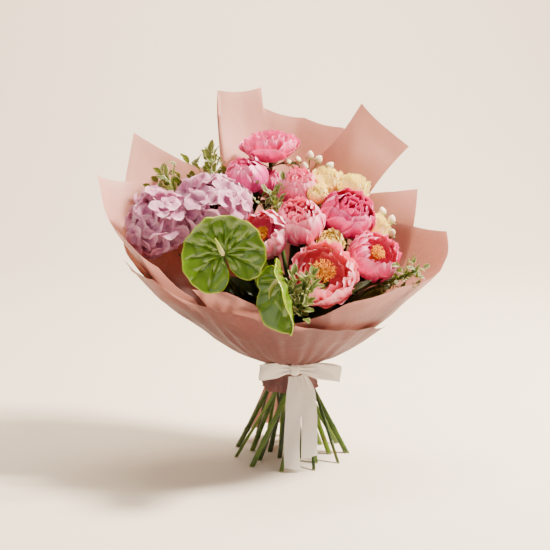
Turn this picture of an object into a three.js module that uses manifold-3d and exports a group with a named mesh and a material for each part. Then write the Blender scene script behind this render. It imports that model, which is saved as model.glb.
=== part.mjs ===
// A hand-tied bunch of peonies with hydrangea, anthurium, roses and greenery, in sheets of
// translucent paper gathered at the tie by a ribbon bow. It stands on its splayed, cut stems.
// Units are millimetres and degrees. +Z is up and the show side faces -Y.
// The bunch is laid out around the middle of the tie, with heights from there, and moved at the
// end, so that the origin is the centre of the base of the whole bunch.

import * as THREE from "three";
import { mergeVertices } from "three/addons/utils/BufferGeometryUtils.js";
import Module from "manifold-3d";

const wasm = await Module();
wasm.setup();

// ---- Driving dimensions ----

const tieHeight = 152; // the table to the middle of the binding
const gap = 0.4; // clearance between pieces that touch

const stemRadius = {
  peony: 3.9,
  hydrangea: 4.1,
  anthurium: 3.0,
  rose: 3.3,
  hypericum: 2.5,
  pittosporum: 2.4,
};
const stemSides = 7;
const stemSteps = 12;
const stemPull = { tie: 0.42, head: 0.3 }; // how stiffly a stem bends, as shares of its span

// Stems pass the tie in rings and turn about it like the ribs of a hyperboloid. The rings are
// listed from the innermost. room is the clearance between a ring and the one inside it, reach
// is how far from the axis its stems are at reachDepth below the tie, and turn is its azimuth.
const thickest = Math.max(...Object.values(stemRadius));
const reachDepth = 152;
const ringTwist = 70; // how far round the axis a stem turns between its head and the tie
const rings = [
  { places: 6, room: 1.6, reach: 34, turn: 10 },
  { places: 8, room: 1.5, reach: 64, turn: 20 },
  { places: 11, room: 1.8, reach: 92, turn: 4 },
];
let filled = 0;
for (const ring of rings) {
  ring.radius = filled + 2 * thickest + ring.room;
  filled = ring.radius;
}
rings.reverse(); // the outermost is filled first

// The binding tape round the stems, then the sheets, then the ribbon.
const tapeSlack = 1.6; // between the outer stems at the tie and the tape
const tapeRadius = rings[0].radius + thickest + tapeSlack;
const tapeWall = 0.6;
const tapeWidth = 16;
const sheetWall = 0.8;
const sheetPitch = 2; // distance between two layers of paper at the tie
const sheetSpread = 0.018; // how much that distance grows with each millimetre up the sheet
const ribbonWidth = 25;
const ribbonWall = 0.7;
const bandWidth = 15; // the ribbon is creased narrower where it is tied round
const outermost = 2; // the last layer of paper
const neckSlack = 0.5;
const neckHalf = bandWidth / 2 + outermost * sheetPitch + neckSlack; // of the paper held upright
const knot = { width: 15, depth: 10, height: 19, across: 6, up: -1 }; // moved to the right and down

// Small parts of the flowers.
const notchShare = 0.42; // how far up a spathe its notch lies
const spatheWall = 1.6;
const spatheStem = 5; // the stem ends this far behind a spathe
const spadixStand = 9; // and the spadix starts this far in front of it
const spadixRadius = 2.8;
const berryRadius = 7;
const twigRadius = 1.1;
const leafWall = 1.1;
const leafletThickness = 0.7; // of each half of the spindle
const sprigStretch = 0.16; // the share of a sprig's stem that carries leaves
const goldenAngle = 137.5; // between one leaf and the next round a sprig

// ---- Flowers: at is the middle of the head, faces is the azimuth and elevation it looks to ----
// Heights here and below are from the middle of the tie.
// An anthurium's at is the notch of its spathe, where the spadix stands.

const peonies = [
  { at: [-37, 90, 343], faces: [-95, 78], radius: 46, height: 40, colour: "coral" },
  { at: [-76, 44, 300], faces: [-110, 62], radius: 28, height: 46, colour: "blush" },
  { at: [-35, 66, 282], faces: [-90, 76], radius: 21, height: 34, colour: "coral" },
  { at: [10, 35, 280], faces: [-90, 60], radius: 29, height: 44, colour: "blush" },
  { at: [15, -45, 238], faces: [-95, 50], radius: 33, height: 50, colour: "coral" },
  { at: [87, -15, 243], faces: [-68, 45], radius: 41, height: 54, colour: "magenta" },
  { at: [-41, -62, 217], faces: [-105, 32], radius: 31, height: 46, colour: "coral" },
  { at: [50, -105, 164], faces: [-97, 36], radius: 44, height: 54, colour: "blush" },
  { at: [126, -50, 182], faces: [-55, 38], radius: 35, height: 50, colour: "coral" },
];
const hydrangeas = [
  { at: [-212, -15, 232], faces: [-150, 40], radius: 44, height: 80 },
  { at: [-133, 0, 250], faces: [-120, 55], radius: 42, height: 80 },
];
const anthuriums = [
  { at: [-99, -135, 202], tip: [-121, -128, 252], faces: [-97, 20], width: 128, fold: 0.08 },
  { at: [-16, -156, 168], tip: [8, -192, 98], faces: [-146, -10], width: 84, fold: 0.42 },
];
const roses = [
  { at: [58, 48, 288], faces: [-80, 68], radius: 20, height: 34 },
  { at: [99, 38, 278], faces: [-55, 60], radius: 20, height: 34 },
  { at: [42, 6, 272], faces: [-90, 55], radius: 11, height: 24 },
  { at: [134, 10, 220], faces: [-35, 45], radius: 15, height: 32 },
  { at: [60, -58, 206], faces: [-88, 48], radius: 15, height: 28 },
];

// Berries are given by place; the spray's stem ends below them and sends a twig to each.
const hypericums = [
  {
    fork: [27, 90, 280],
    berries: [
      [32, 88, 328],
      [46, 88, 321],
      [12, 92, 320],
      [-4, 92, 316],
      [23, 86, 310],
      [64, 90, 310],
    ],
  },
  {
    fork: [156, 44, 193],
    berries: [
      [148, 36, 241],
      [162, 30, 229],
      [162, 26, 209],
    ],
  },
];

// Sprigs of small leaves: at is the tip of the sprig, faces is where the tip points.
const pittosporums = [
  { at: [-208, 54, 300], faces: [160, 62], leaves: 12, leaf: 24, droop: 0.35 },
  { at: [-136, 74, 328], faces: [120, 70], leaves: 12, leaf: 24, droop: 0.35 },
  { at: [-28, -8, 280], faces: [-95, 66], leaves: 9, leaf: 19, droop: 0.5 },
  { at: [18, -164, 170], faces: [-66, 72], leaves: 12, leaf: 21, droop: 0.6 },
  { at: [192, -74, 166], faces: [-25, 24], leaves: 14, leaf: 17, droop: 0.6 },
];

// Leaves that stay on peony stems: the stem's index, where along it, and the tip of the leaf.
const peonyLeaves = [
  { stem: 1, along: 0.9, tip: [-47, 0, 298], width: 15 },
  { stem: 5, along: 0.84, tip: [88, -66, 214], width: 17 },
  { stem: 7, along: 0.86, tip: [99, -120, 137], width: 22 },
  { stem: 7, along: 0.78, tip: [10, -128, 128], width: 26 },
  { stem: 6, along: 0.8, tip: [-52, -112, 140], width: 28 },
  { stem: 0, along: 0.84, tip: [-72, 98, 268], width: 30 },
  { stem: 8, along: 0.78, tip: [158, -22, 144], width: 28 },
];

// ---- Paper: each sheet is a patch of one flaring bowl ----
// neck is the range of azimuths that the sheet is gathered into at the tie. rim and skirt list
// [azimuth, length] corner by corner, above and below the tie, with straight cuts between
// them. layer counts outwards.

const sheets = [
  {
    name: "wrap_right_back",
    layer: 0,
    neck: [62, 112],
    rim: [[27, 385], [45, 427], [72, 329], [100, 250]],
    skirt: [[62, 24], [90, 26], [112, 24]],
  },
  {
    name: "wrap_left",
    layer: 0,
    neck: [125, 208],
    rim: [[134, 300], [161, 354], [176, 414], [207, 256], [214, 190]],
    skirt: [[125, 24], [170, 30], [208, 26]],
  },
  {
    name: "wrap_front_inner",
    layer: 0,
    neck: [-140, 30],
    rim: [
      [-142, 208], [-122, 205], [-109, 184], [-101, 142], [-82, 152],
      [-62, 180], [-36, 216], [-17, 236], [8, 302], [28, 256],
    ],
    skirt: [[-140, 26], [-90, 30], [-30, 28], [30, 24]],
  },
  {
    name: "wrap_left_back",
    layer: 1,
    neck: [125, 200],
    rim: [[128, 290], [149, 350], [160, 434], [167, 365], [196, 220]],
    skirt: [[125, 22], [170, 28], [200, 24]],
  },
  {
    name: "wrap_right",
    layer: 1,
    neck: [6, 66],
    rim: [[23, 328], [29, 305], [72, 250]],
    skirt: [[6, 26], [30, 30], [66, 24]],
  },
  {
    name: "wrap_back",
    layer: 2,
    neck: [52, 146],
    rim: [[52, 378], [60, 385], [82, 400], [105, 417], [106, 451], [131, 448], [134, 300]],
    skirt: [[52, 30], [90, 132], [144, 142], [146, 60]],
  },
  {
    name: "wrap_front_outer",
    layer: 2,
    neck: [168, 345],
    rim: [
      [168, 215], [184, 278], [206, 244], [216, 190], [245, 168],
      [268, 158], [290, 140], [320, 132], [350, 136],
    ],
    skirt: [[168, 24], [220, 30], [290, 32], [345, 26]],
  },
];
const sheetFan = 0.72; // a sheet gathered into the bowl turns by less than it does flat
const sheetColumn = 12; // the most degrees between two columns of a sheet, at its rim
const nearRows = [0, 20, 50, 90]; // lengths from the tie at which every sheet has a row of points
const farRows = 3; // and how many more it has from there to its rim
const neckRows = [1, 0.5, 0.2, 0]; // shares of the skirt's depth

// The elevation of the paper at a length from the tie, on the bowl's sides, front and back.
const bowl = {
  side: [[0, 10], [50, 30], [100, 38], [190, 39], [260, 56], [400, 67]],
  front: [[0, 12], [60, 40], [160, 56], [400, 70]],
  back: [[0, 45], [60, 64], [200, 75], [400, 84]],
};
const bowlStep = 5; // the length over which the elevation is taken as constant
const skirtFlare = 0.6; // the skirts lean out as the stems do

// ---- Vectors and solids ----

const vec = (x, y, z) => new THREE.Vector3(x, y, z);
const rad = (degrees) => (degrees * Math.PI) / 180;
const lerp = THREE.MathUtils.lerp;
const smooth = (x) => THREE.MathUtils.smoothstep(x, 0, 1);

// The unit vector at an azimuth and an elevation.
function direction([azimuth, elevation]) {
  const flat = Math.cos(rad(elevation));
  return vec(Math.cos(rad(azimuth)) * flat, Math.sin(rad(azimuth)) * flat, Math.sin(rad(elevation)));
}

// A closed three.js geometry as a solid.
function solid(geometry) {
  const bare = geometry.index ? geometry.toNonIndexed() : geometry.clone();
  bare.deleteAttribute("normal");
  bare.deleteAttribute("uv");
  const merged = mergeVertices(bare, 1e-4);
  return new wasm.Manifold(
    new wasm.Mesh({
      numProp: 3,
      vertProperties: merged.attributes.position.array,
      triVerts: new Uint32Array(merged.index.array),
    }),
  );
}

// A solid as a three.js geometry.
function geometryOf(shape) {
  const mesh = shape.getMesh();
  const geometry = new THREE.BufferGeometry();
  geometry.setAttribute("position", new THREE.BufferAttribute(new Float32Array(mesh.vertProperties), 3));
  geometry.setIndex(new THREE.BufferAttribute(new Uint32Array(mesh.triVerts), 1));
  geometry.computeVertexNormals();
  return geometry;
}

// A closed plate: the grid of points, and the same grid moved along each point's normal.
function plate(points, wall) {
  const rows = points.length;
  const columns = points[0].length;
  const outer = points.map((row, i) =>
    row.map((point, j) => {
      const across = points[i][Math.min(j + 1, columns - 1)].clone().sub(points[i][Math.max(j - 1, 0)]);
      const along = points[Math.min(i + 1, rows - 1)][j].clone().sub(points[Math.max(i - 1, 0)][j]);
      return point.clone().addScaledVector(across.cross(along).normalize(), wall);
    }),
  );
  const positions = [];
  const quad = (a, b, c, d) => {
    for (const point of [a, b, c, a, c, d]) positions.push(point.x, point.y, point.z);
  };
  for (let i = 0; i < rows - 1; i++)
    for (let j = 0; j < columns - 1; j++) {
      quad(points[i][j], points[i + 1][j], points[i + 1][j + 1], points[i][j + 1]);
      quad(outer[i][j], outer[i][j + 1], outer[i + 1][j + 1], outer[i + 1][j]);
    }
  for (let j = 0; j < columns - 1; j++) {
    quad(points[0][j], points[0][j + 1], outer[0][j + 1], outer[0][j]);
    quad(points[rows - 1][j + 1], points[rows - 1][j], outer[rows - 1][j], outer[rows - 1][j + 1]);
  }
  for (let i = 0; i < rows - 1; i++) {
    quad(points[i + 1][0], points[i][0], outer[i][0], outer[i + 1][0]);
    const last = columns - 1;
    quad(points[i][last], points[i + 1][last], outer[i + 1][last], outer[i][last]);
  }
  const geometry = new THREE.BufferGeometry();
  geometry.setAttribute("position", new THREE.Float32BufferAttribute(positions, 3));
  return geometry;
}

// A round bar along a curve.
function bar(curve, radius, steps, sides) {
  const section = new THREE.Shape();
  for (let k = 0; k < sides; k++) {
    const x = radius * Math.cos((2 * Math.PI * k) / sides);
    const y = radius * Math.sin((2 * Math.PI * k) / sides);
    if (k === 0) section.moveTo(x, y);
    else section.lineTo(x, y);
  }
  return new THREE.ExtrudeGeometry(section, { steps, extrudePath: curve, bevelEnabled: false });
}

// Places a piece that was made standing on the origin along +Z: its middle goes to at.
function placed(geometry, at, faces, height) {
  const axis = direction(faces);
  const turned = geometry.clone();
  turned.applyQuaternion(new THREE.Quaternion().setFromUnitVectors(vec(0, 0, 1), axis));
  const base = vec(...at).addScaledVector(axis, -height / 2);
  turned.translate(base.x, base.y, base.z);
  return turned;
}

// ---- Materials ----

function finish(color, roughness, extra = {}) {
  return new THREE.MeshStandardMaterial({ color, roughness, metalness: 0, ...extra });
}
const paper = { transparent: true, opacity: 0.75, side: THREE.DoubleSide };
const finishes = {
  coral: finish("#e0707c", 0.6),
  magenta: finish("#c73a5c", 0.6),
  blush: finish("#e79aa6", 0.6),
  lilac: finish("#c79ab4", 0.7),
  spathe: finish("#6f8f1e", 0.25),
  spadix: finish("#c8c07a", 0.6),
  cream: finish("#f3e4ac", 0.65),
  berry: finish("#e8dcb0", 0.4),
  stem: finish("#5f7a2c", 0.5),
  sprig: finish("#8d9560", 0.55),
  wrap: finish("#d29c8c", 0.8, paper),
  ribbon: finish("#efe9e0", 0.35),
  tape: finish("#7f9a4a", 0.6),
};

// ---- The group ----

const bunch = new THREE.Group();

function add(name, geometry, material) {
  const mesh = new THREE.Mesh(geometry, material);
  mesh.name = name;
  bunch.add(mesh);
  return mesh;
}

// ---- Stems ----

// One place in a ring: where the stem passes the tie, and which way it runs there.
function place(ring, index) {
  const azimuth = ring.turn + (360 / ring.places) * index;
  const slope = Math.sqrt(ring.reach ** 2 - ring.radius ** 2) / reachDepth;
  const through = direction([azimuth, 0]).multiplyScalar(ring.radius);
  const rise = vec(-Math.sin(rad(azimuth)) * slope, Math.cos(rad(azimuth)) * slope, 1);
  return { through, rise, azimuth };
}

// Shares the stems out: those that lean out furthest take the outer ring, and within a ring
// they keep the order of their azimuths, turned back by the ring's own twist.
function sharePlaces(stems) {
  const lean = (stem) => Math.hypot(stem.end.x, stem.end.y) / stem.end.z;
  const queue = [...stems].sort((a, b) => lean(b) - lean(a));
  for (const ring of rings) {
    const share = queue.splice(0, ring.places);
    share.sort((a, b) => Math.atan2(a.end.y, a.end.x) - Math.atan2(b.end.y, b.end.x));
    let best = { cost: Infinity };
    for (let shift = 0; shift < ring.places; shift++) {
      let cost = 0;
      share.forEach((stem, k) => {
        const wanted = (Math.atan2(stem.end.y, stem.end.x) * 180) / Math.PI - ringTwist;
        const off = ((place(ring, k + shift).azimuth - wanted + 900) % 360) - 180;
        cost += off * off;
      });
      if (cost < best.cost) best = { cost, shift };
    }
    share.forEach((stem, k) => {
      stem.place = place(ring, k + best.shift);
    });
  }
}

// The line of a stem: straight from its foot through the tie, then bending to its head.
function stemCurve(stem) {
  const { through, rise } = stem.place;
  const below = 12; // runs past the table, where the cut then takes it off
  const foot = through.clone().addScaledVector(rise, -(tieHeight + below));
  const span = stem.end.distanceTo(through);
  const curve = new THREE.CurvePath();
  curve.add(new THREE.LineCurve3(foot, through));
  curve.add(
    new THREE.CubicBezierCurve3(
      through,
      through.clone().addScaledVector(rise.clone().normalize(), span * stemPull.tie),
      stem.end.clone().addScaledVector(stem.axis, -span * stemPull.head),
      stem.end,
    ),
  );
  return curve;
}

// Everything under the table's height, which the cut takes off.
const belowTable = solid(new THREE.BoxGeometry(600, 600, 80).translate(0, 0, -tieHeight - 40));

function stemSolid(stem) {
  stem.curve = stemCurve(stem);
  return solid(bar(stem.curve, stem.radius, stemSteps, stemSides)).subtract(belowTable);
}

// ---- Heads ----

// A cupped flower head: a bowl of petals with a ruffled rim and a dimple at its heart.
function cupHead(radius, height, petals, dimple) {
  const sides = petals * 2;
  const profile = [
    [0.16, 0],
    [0.7, 0.16],
    [1, 0.5],
    [0.9, 0.9],
    [0.6, 1],
    [0.28, 1 - dimple],
  ];
  const ring = (row, k) => {
    const [r, z] = profile[row];
    const ruffle = k % 2 === 0 ? 1 : 1 - 0.12 * smooth(z);
    const azimuth = (360 / sides) * k;
    return direction([azimuth, 0]).multiplyScalar(radius * r * ruffle).setZ(height * z);
  };
  const positions = [];
  const face = (...corners) => corners.forEach((c) => positions.push(c.x, c.y, c.z));
  const heart = vec(0, 0, height * (1 - dimple));
  for (let k = 0; k < sides; k++) {
    face(vec(0, 0, 0), ring(0, k + 1), ring(0, k));
    for (let row = 0; row < profile.length - 1; row++) {
      const [a, b] = [ring(row, k), ring(row, k + 1)];
      const [c, d] = [ring(row + 1, k + 1), ring(row + 1, k)];
      face(a, b, c);
      face(a, c, d);
    }
    face(ring(profile.length - 1, k), ring(profile.length - 1, k + 1), heart);
  }
  const geometry = new THREE.BufferGeometry();
  geometry.setAttribute("position", new THREE.Float32BufferAttribute(positions, 3));
  return geometry;
}

// A mophead: a ball with a bump for each cluster of florets.
function mopHead(radius, height) {
  const geometry = new THREE.SphereGeometry(1, 16, 10);
  const position = geometry.attributes.position;
  for (let i = 0; i < position.count; i++) {
    const p = vec().fromBufferAttribute(position, i);
    const bump = 1 - 0.06 * (1 + Math.cos(5 * Math.atan2(p.y, p.x)) * Math.cos(4 * p.z)) * (1 - p.z * p.z);
    position.setXYZ(i, p.x * radius * bump, p.y * radius * bump, ((p.z + 1) / 2) * height);
  }
  return geometry;
}

// A heart-shaped spathe lying in its own XY plane, with its notch at the origin and its tip
// towards +Y. fold lifts the two halves towards each other.
function spathe(length, width, fold) {
  const rows = 9;
  const columns = 7;
  const points = [];
  for (let i = 0; i < rows; i++) {
    const t = i / (rows - 1);
    const y = lerp(-notchShare, 1 - notchShare, t);
    const outer = 0.5 * Math.pow(Math.sin(Math.PI * Math.pow(lerp(0.1, 0.985, t), 0.7)), 0.6);
    points.push([]);
    for (let j = 0; j < columns; j++) {
      const u = (2 * j) / (columns - 1) - 1;
      const lobe = y < 0 ? -y * 0.96 * Math.pow(1 - Math.abs(u), 1.5) : 0;
      const x = width * outer * u;
      const lift = fold * width * outer * u * u + 0.04 * length * Math.sin(Math.PI * t);
      points[i].push(vec(x, length * (y + lobe), lift));
    }
  }
  return plate(points, spatheWall);
}

// The turn that lays a spathe's length along its tip and its face towards where it faces.
function spatheFrame(head) {
  const along = vec(...head.tip).sub(vec(...head.at)).normalize();
  const facing = direction(head.faces);
  facing.addScaledVector(along, -facing.dot(along)).normalize();
  const frame = new THREE.Matrix4().makeBasis(along.clone().cross(facing), along, facing);
  return { along, facing, frame };
}

// ---- Leaves ----

// A pointed leaf from root to tip, cupped along its midrib, thick enough to be a solid.
function leaf(root, tip, width) {
  const stations = [0.0, 0.3, 0.62, 1];
  const widths = [0.16, 0.94, 0.78, 0.06];
  const along = tip.clone().sub(root);
  const side = along.clone().cross(vec(0, 0, 1)).normalize();
  const lift = side.clone().cross(along).normalize();
  const points = stations.map((s, i) =>
    [-1, 0, 1].map((u) =>
      root
        .clone()
        .addScaledVector(along, s)
        .addScaledVector(side, (u * width * widths[i]) / 2)
        .addScaledVector(lift, along.length() * 0.12 * Math.sin(Math.PI * s) + Math.abs(u) * width * 0.1),
    ),
  );
  return solid(plate(points, leafWall));
}

// A small leaf: a thin four-sided spindle.
function leaflet(root, tip, width, up) {
  const along = tip.clone().sub(root);
  const side = along.clone().cross(up).normalize().multiplyScalar(width / 2);
  const lift = side.clone().cross(along).setLength(leafletThickness);
  const middle = root.clone().addScaledVector(along, 0.55);
  const [left, right] = [middle.clone().sub(side), middle.clone().add(side)];
  const [over, under] = [middle.clone().add(lift), middle.clone().sub(lift)];
  const edge = [root, left, tip, right];
  const positions = [];
  edge.forEach((corner, k) => {
    const next = edge[(k + 1) % edge.length];
    for (const p of [corner, next, over, next, corner, under]) positions.push(p.x, p.y, p.z);
  });
  const geometry = new THREE.BufferGeometry();
  geometry.setAttribute("position", new THREE.Float32BufferAttribute(positions, 3));
  return facingOut(geometry);
}

// A solid whichever way its faces were listed.
function facingOut(geometry) {
  const made = solid(geometry);
  if (made.volume() > 0) return made;
  const index = mergeVertices(geometry.deleteAttribute("normal"), 1e-4);
  const order = Array.from(index.index.array);
  for (let i = 0; i < order.length; i += 3) [order[i], order[i + 1]] = [order[i + 1], order[i]];
  index.setIndex(order);
  return solid(index);
}

// ---- Paper and ribbon ----

// A value read from a list of [place, value] pairs.
function readOff(table, at) {
  const k = table.findIndex(([place]) => place > at);
  if (k < 1) return k === 0 ? table[0][1] : table[table.length - 1][1];
  const [[a, low], [b, high]] = [table[k - 1], table[k]];
  return lerp(low, high, (at - a) / (b - a));
}

// The elevation of the paper at an azimuth and a length from the tie.
function paperElevation(azimuth, length) {
  const toBack = smooth(Math.sin(rad(azimuth)) * 1.25);
  const toFront = smooth(-Math.sin(rad(azimuth)));
  const sideOrBack = lerp(readOff(bowl.side, length), readOff(bowl.back, length), toBack);
  return lerp(sideOrBack, readOff(bowl.front, length), toFront);
}

// A point of the bowl: how far out and how high the paper is, for the innermost layer.
function bowlProfile(azimuth, length) {
  let out = neckRadius(0);
  let up = neckHalf;
  for (let s = 0; s < length; s += bowlStep) {
    const piece = Math.min(bowlStep, length - s);
    const elevation = rad(paperElevation(azimuth, s + piece / 2));
    out += piece * Math.cos(elevation);
    up += piece * Math.sin(elevation);
  }
  return { out, up };
}

// The radius at which a layer of paper passes the tie.
function neckRadius(layer) {
  return tapeRadius + tapeWall + gap + layer * sheetPitch;
}

// Straight cuts between corners, in the plane that the paper would lie flat in.
function cutLength(corners, azimuth) {
  for (let k = 0; k < corners.length - 1; k++) {
    const [a, la] = corners[k];
    const [b, lb] = corners[k + 1];
    if (azimuth > b && k < corners.length - 2) continue;
    const part = THREE.MathUtils.clamp((azimuth - a) / (b - a), 0, 1);
    const span = rad((b - a) * sheetFan);
    const angle = part * span;
    return (la * lb * Math.sin(span)) / (la * Math.sin(angle) + lb * Math.sin(span - angle));
  }
  return corners[0][1];
}

// Azimuths across a rim, with every corner among them.
function rimAzimuths(corners) {
  const azimuths = [corners[0][0]];
  for (let k = 1; k < corners.length; k++) {
    const [a, b] = [corners[k - 1][0], corners[k][0]];
    const parts = Math.ceil((b - a) / sheetColumn);
    for (let i = 1; i <= parts; i++) azimuths.push(lerp(a, b, i / parts));
  }
  return azimuths;
}

function sheetSolid(sheet) {
  const edges = rimAzimuths(sheet.rim);
  const [first, last] = [edges[0], edges[edges.length - 1]];
  const waist = neckRadius(sheet.layer);
  const gathered = (edge) => lerp(sheet.neck[0], sheet.neck[1], (edge - first) / (last - first));
  const skirtPoint = (share) => (edge) => {
    const drop = cutLength(sheet.skirt, gathered(edge)) * share;
    const out = Math.hypot(waist, skirtFlare * drop) + drop * 0.04;
    return direction([gathered(edge), 0]).multiplyScalar(out).setZ(-neckHalf - drop * 0.93);
  };
  const rimPoint = (lengthOf) => (edge) => {
    const full = cutLength(sheet.rim, edge);
    const length = lengthOf(full);
    const azimuth = lerp(gathered(edge), edge, length / full);
    const { out, up } = bowlProfile(azimuth, length);
    const tilt = rad(paperElevation(azimuth, length));
    const off = sheet.layer * (sheetPitch + sheetSpread * length);
    const open = smooth(length / 15);
    const height = up - off * Math.cos(tilt);
    return direction([azimuth, 0]).multiplyScalar(out + off * lerp(1, Math.sin(tilt), open)).setZ(height);
  };
  const near = nearRows[nearRows.length - 1];
  const rows = neckRows.map(skirtPoint);
  for (const length of nearRows) rows.push(rimPoint(() => length));
  for (let i = 1; i <= farRows; i++) rows.push(rimPoint((full) => lerp(near, full, i / farRows)));
  return facingOut(plate(rows.map((point) => edges.map(point)), sheetWall));
}

// A flat ribbon along a curve, with its width held as near to wide as the curve allows. It is
// gathered narrower where it leaves the knot, and where it comes back if it is a loop.
function ribbonSolid(curve, wide, steps, narrow, isLoop) {
  const grid = [];
  for (let i = 0; i <= steps; i++) {
    const t = i / steps;
    const middle = curve.getPoint(t);
    const tangent = curve.getTangent(t);
    const side = wide.clone().addScaledVector(tangent, -wide.dot(tangent)).normalize();
    const open = Math.min(4 * t, isLoop ? 4 * (1 - t) : 1, 1);
    const half = (ribbonWidth / 2) * lerp(narrow, 1, smooth(open));
    grid.push([-1, 1].map((u) => middle.clone().addScaledVector(side, u * half)));
  }
  return facingOut(plate(grid, ribbonWall));
}

// ---- Build: stems and what they carry ----

const stems = [];

function stemTo(name, kind, end, axis) {
  const stem = { name, radius: stemRadius[kind], end, axis: axis.clone() };
  stems.push(stem);
  return stem;
}

// The stem of a head ends in its base.
function headStem(name, kind, head) {
  const axis = direction(head.faces);
  const end = vec(...head.at).addScaledVector(axis, -head.height / 2 - gap);
  return stemTo(name, kind, end, axis);
}

peonies.forEach((head, k) => headStem(`peony_${k + 1}_stem`, "peony", head));
hydrangeas.forEach((head, k) => headStem(`hydrangea_${k + 1}_stem`, "hydrangea", head));
roses.forEach((head, k) => headStem(`rose_${k + 1}_stem`, "rose", head));
anthuriums.forEach((head, k) => {
  const { facing } = spatheFrame(head);
  const end = vec(...head.at).addScaledVector(facing, -spatheStem);
  stemTo(`anthurium_${k + 1}_stem`, "anthurium", end, facing.clone().add(vec(0, 0, 1.2)).normalize());
});
hypericums.forEach((spray, k) => {
  stemTo(`hypericum_${k + 1}`, "hypericum", vec(...spray.fork), vec(0, 0, 1));
});
pittosporums.forEach((sprig, k) => {
  stemTo(`pittosporum_${k + 1}`, "pittosporum", vec(...sprig.at), direction(sprig.faces));
});
sharePlaces(stems);

const byName = Object.fromEntries(stems.map((stem) => [stem.name, stem]));

// Peonies: head, and stem with the leaves left on it.
peonies.forEach((head, k) => {
  const cup = cupHead(head.radius, head.height, 7, 0.3);
  const flower = facingOut(placed(cup, head.at, head.faces, head.height));
  add(`peony_${k + 1}_head`, geometryOf(flower), finishes[head.colour]);
  let shape = stemSolid(byName[`peony_${k + 1}_stem`]);
  for (const blade of peonyLeaves.filter((entry) => entry.stem === k)) {
    const root = byName[`peony_${k + 1}_stem`].curve.getPointAt(blade.along);
    shape = shape.add(leaf(root, vec(...blade.tip), blade.width));
  }
  add(`peony_${k + 1}_stem`, geometryOf(shape), finishes.stem);
});

hydrangeas.forEach((head, k) => {
  const ball = mopHead(head.radius, head.height);
  const shape = facingOut(placed(ball, head.at, head.faces, head.height));
  add(`hydrangea_${k + 1}_head`, geometryOf(shape), finishes.lilac);
  add(`hydrangea_${k + 1}_stem`, geometryOf(stemSolid(byName[`hydrangea_${k + 1}_stem`])), finishes.stem);
});

roses.forEach((head, k) => {
  const cup = cupHead(head.radius, head.height, 5, 0.12);
  const flower = facingOut(placed(cup, head.at, head.faces, head.height));
  add(`rose_${k + 1}_head`, geometryOf(flower), finishes.cream);
  add(`rose_${k + 1}_stem`, geometryOf(stemSolid(byName[`rose_${k + 1}_stem`])), finishes.stem);
});

// Anthuriums: the spathe, the spadix that stands on it and the stem behind it.
anthuriums.forEach((head, k) => {
  const { along, facing, frame } = spatheFrame(head);
  const length = vec(...head.tip).distanceTo(vec(...head.at)) / (1 - notchShare);
  const blade = spathe(length, head.width, head.fold).applyMatrix4(frame).translate(...head.at);
  add(`anthurium_${k + 1}_spathe`, geometryOf(facingOut(blade)), finishes.spathe);

  const start = vec(...head.at).addScaledVector(facing, spadixStand);
  const tip = start.clone().addScaledVector(along, 26).addScaledVector(facing, 20);
  const bend = start.clone().addScaledVector(facing, 14).addScaledVector(along, 4);
  const core = bar(new THREE.QuadraticBezierCurve3(start, bend, tip), spadixRadius, 5, 7);
  add(`anthurium_${k + 1}_spadix`, geometryOf(facingOut(core)), finishes.spadix);
  add(`anthurium_${k + 1}_stem`, geometryOf(stemSolid(byName[`anthurium_${k + 1}_stem`])), finishes.stem);
});

// Hypericum: the stem, a twig to each berry and the berry on it, grown as one.
hypericums.forEach((spray, k) => {
  let shape = stemSolid(byName[`hypericum_${k + 1}`]);
  const fork = vec(...spray.fork).add(vec(0, 0, -1));
  for (const spot of spray.berries) {
    const berry = vec(...spot);
    const bow = fork.clone().lerp(berry, 0.5).add(vec(0, 0, -4));
    shape = shape.add(facingOut(bar(new THREE.QuadraticBezierCurve3(fork, bow, berry), twigRadius, 2, 5)));
    shape = shape.add(solid(new THREE.SphereGeometry(berryRadius, 7, 5).translate(...spot)));
  }
  add(`hypericum_${k + 1}`, geometryOf(shape), finishes.berry);
});

// Pittosporum: leaves in a spiral along the last stretch of the stem.
pittosporums.forEach((sprig, k) => {
  const stem = byName[`pittosporum_${k + 1}`];
  let shape = stemSolid(stem);
  for (let n = 0; n < sprig.leaves; n++) {
    const along = 1 - sprigStretch * (1 - n / sprig.leaves) - 0.004;
    const root = stem.curve.getPointAt(along);
    const axis = stem.curve.getTangentAt(along);
    const side = axis.clone().cross(vec(0.3, 0.2, 1)).normalize().applyAxisAngle(axis, rad(goldenAngle * n));
    const reach = side.addScaledVector(axis, 1 - sprig.droop).normalize().multiplyScalar(sprig.leaf);
    shape = shape.add(leaflet(root, root.clone().add(reach), sprig.leaf * 0.45, axis));
  }
  add(`pittosporum_${k + 1}`, geometryOf(shape), finishes.sprig);
});

// ---- Build: tie, paper and bow ----

// An upright ring round the tie, with a rectangular section.
function ringBand(inner, wall, width) {
  const [low, high] = [-width / 2, width / 2];
  const section = [[inner, low], [inner + wall, low], [inner + wall, high], [inner, high], [inner, low]];
  const turned = new THREE.LatheGeometry(section.map(([r, z]) => new THREE.Vector2(r, z)), 32);
  return facingOut(turned.rotateX(Math.PI / 2));
}

add("binding_tape", geometryOf(ringBand(tapeRadius, tapeWall, tapeWidth)), finishes.tape);
for (const sheet of sheets) add(sheet.name, geometryOf(sheetSolid(sheet)), finishes.wrap);

const bandRadius = neckRadius(outermost) + sheetWall + gap;
const front = -(bandRadius + ribbonWall + gap); // the plane that the bow is tied against
add("ribbon_band", geometryOf(ringBand(bandRadius, ribbonWall, bandWidth)), finishes.ribbon);

const knotShape = new THREE.SphereGeometry(0.5, 10, 7).scale(knot.width, knot.depth, knot.height);
knotShape.translate(knot.across, front - knot.depth / 2, knot.up);
add("ribbon_knot", geometryOf(facingOut(knotShape)), finishes.ribbon);

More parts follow.
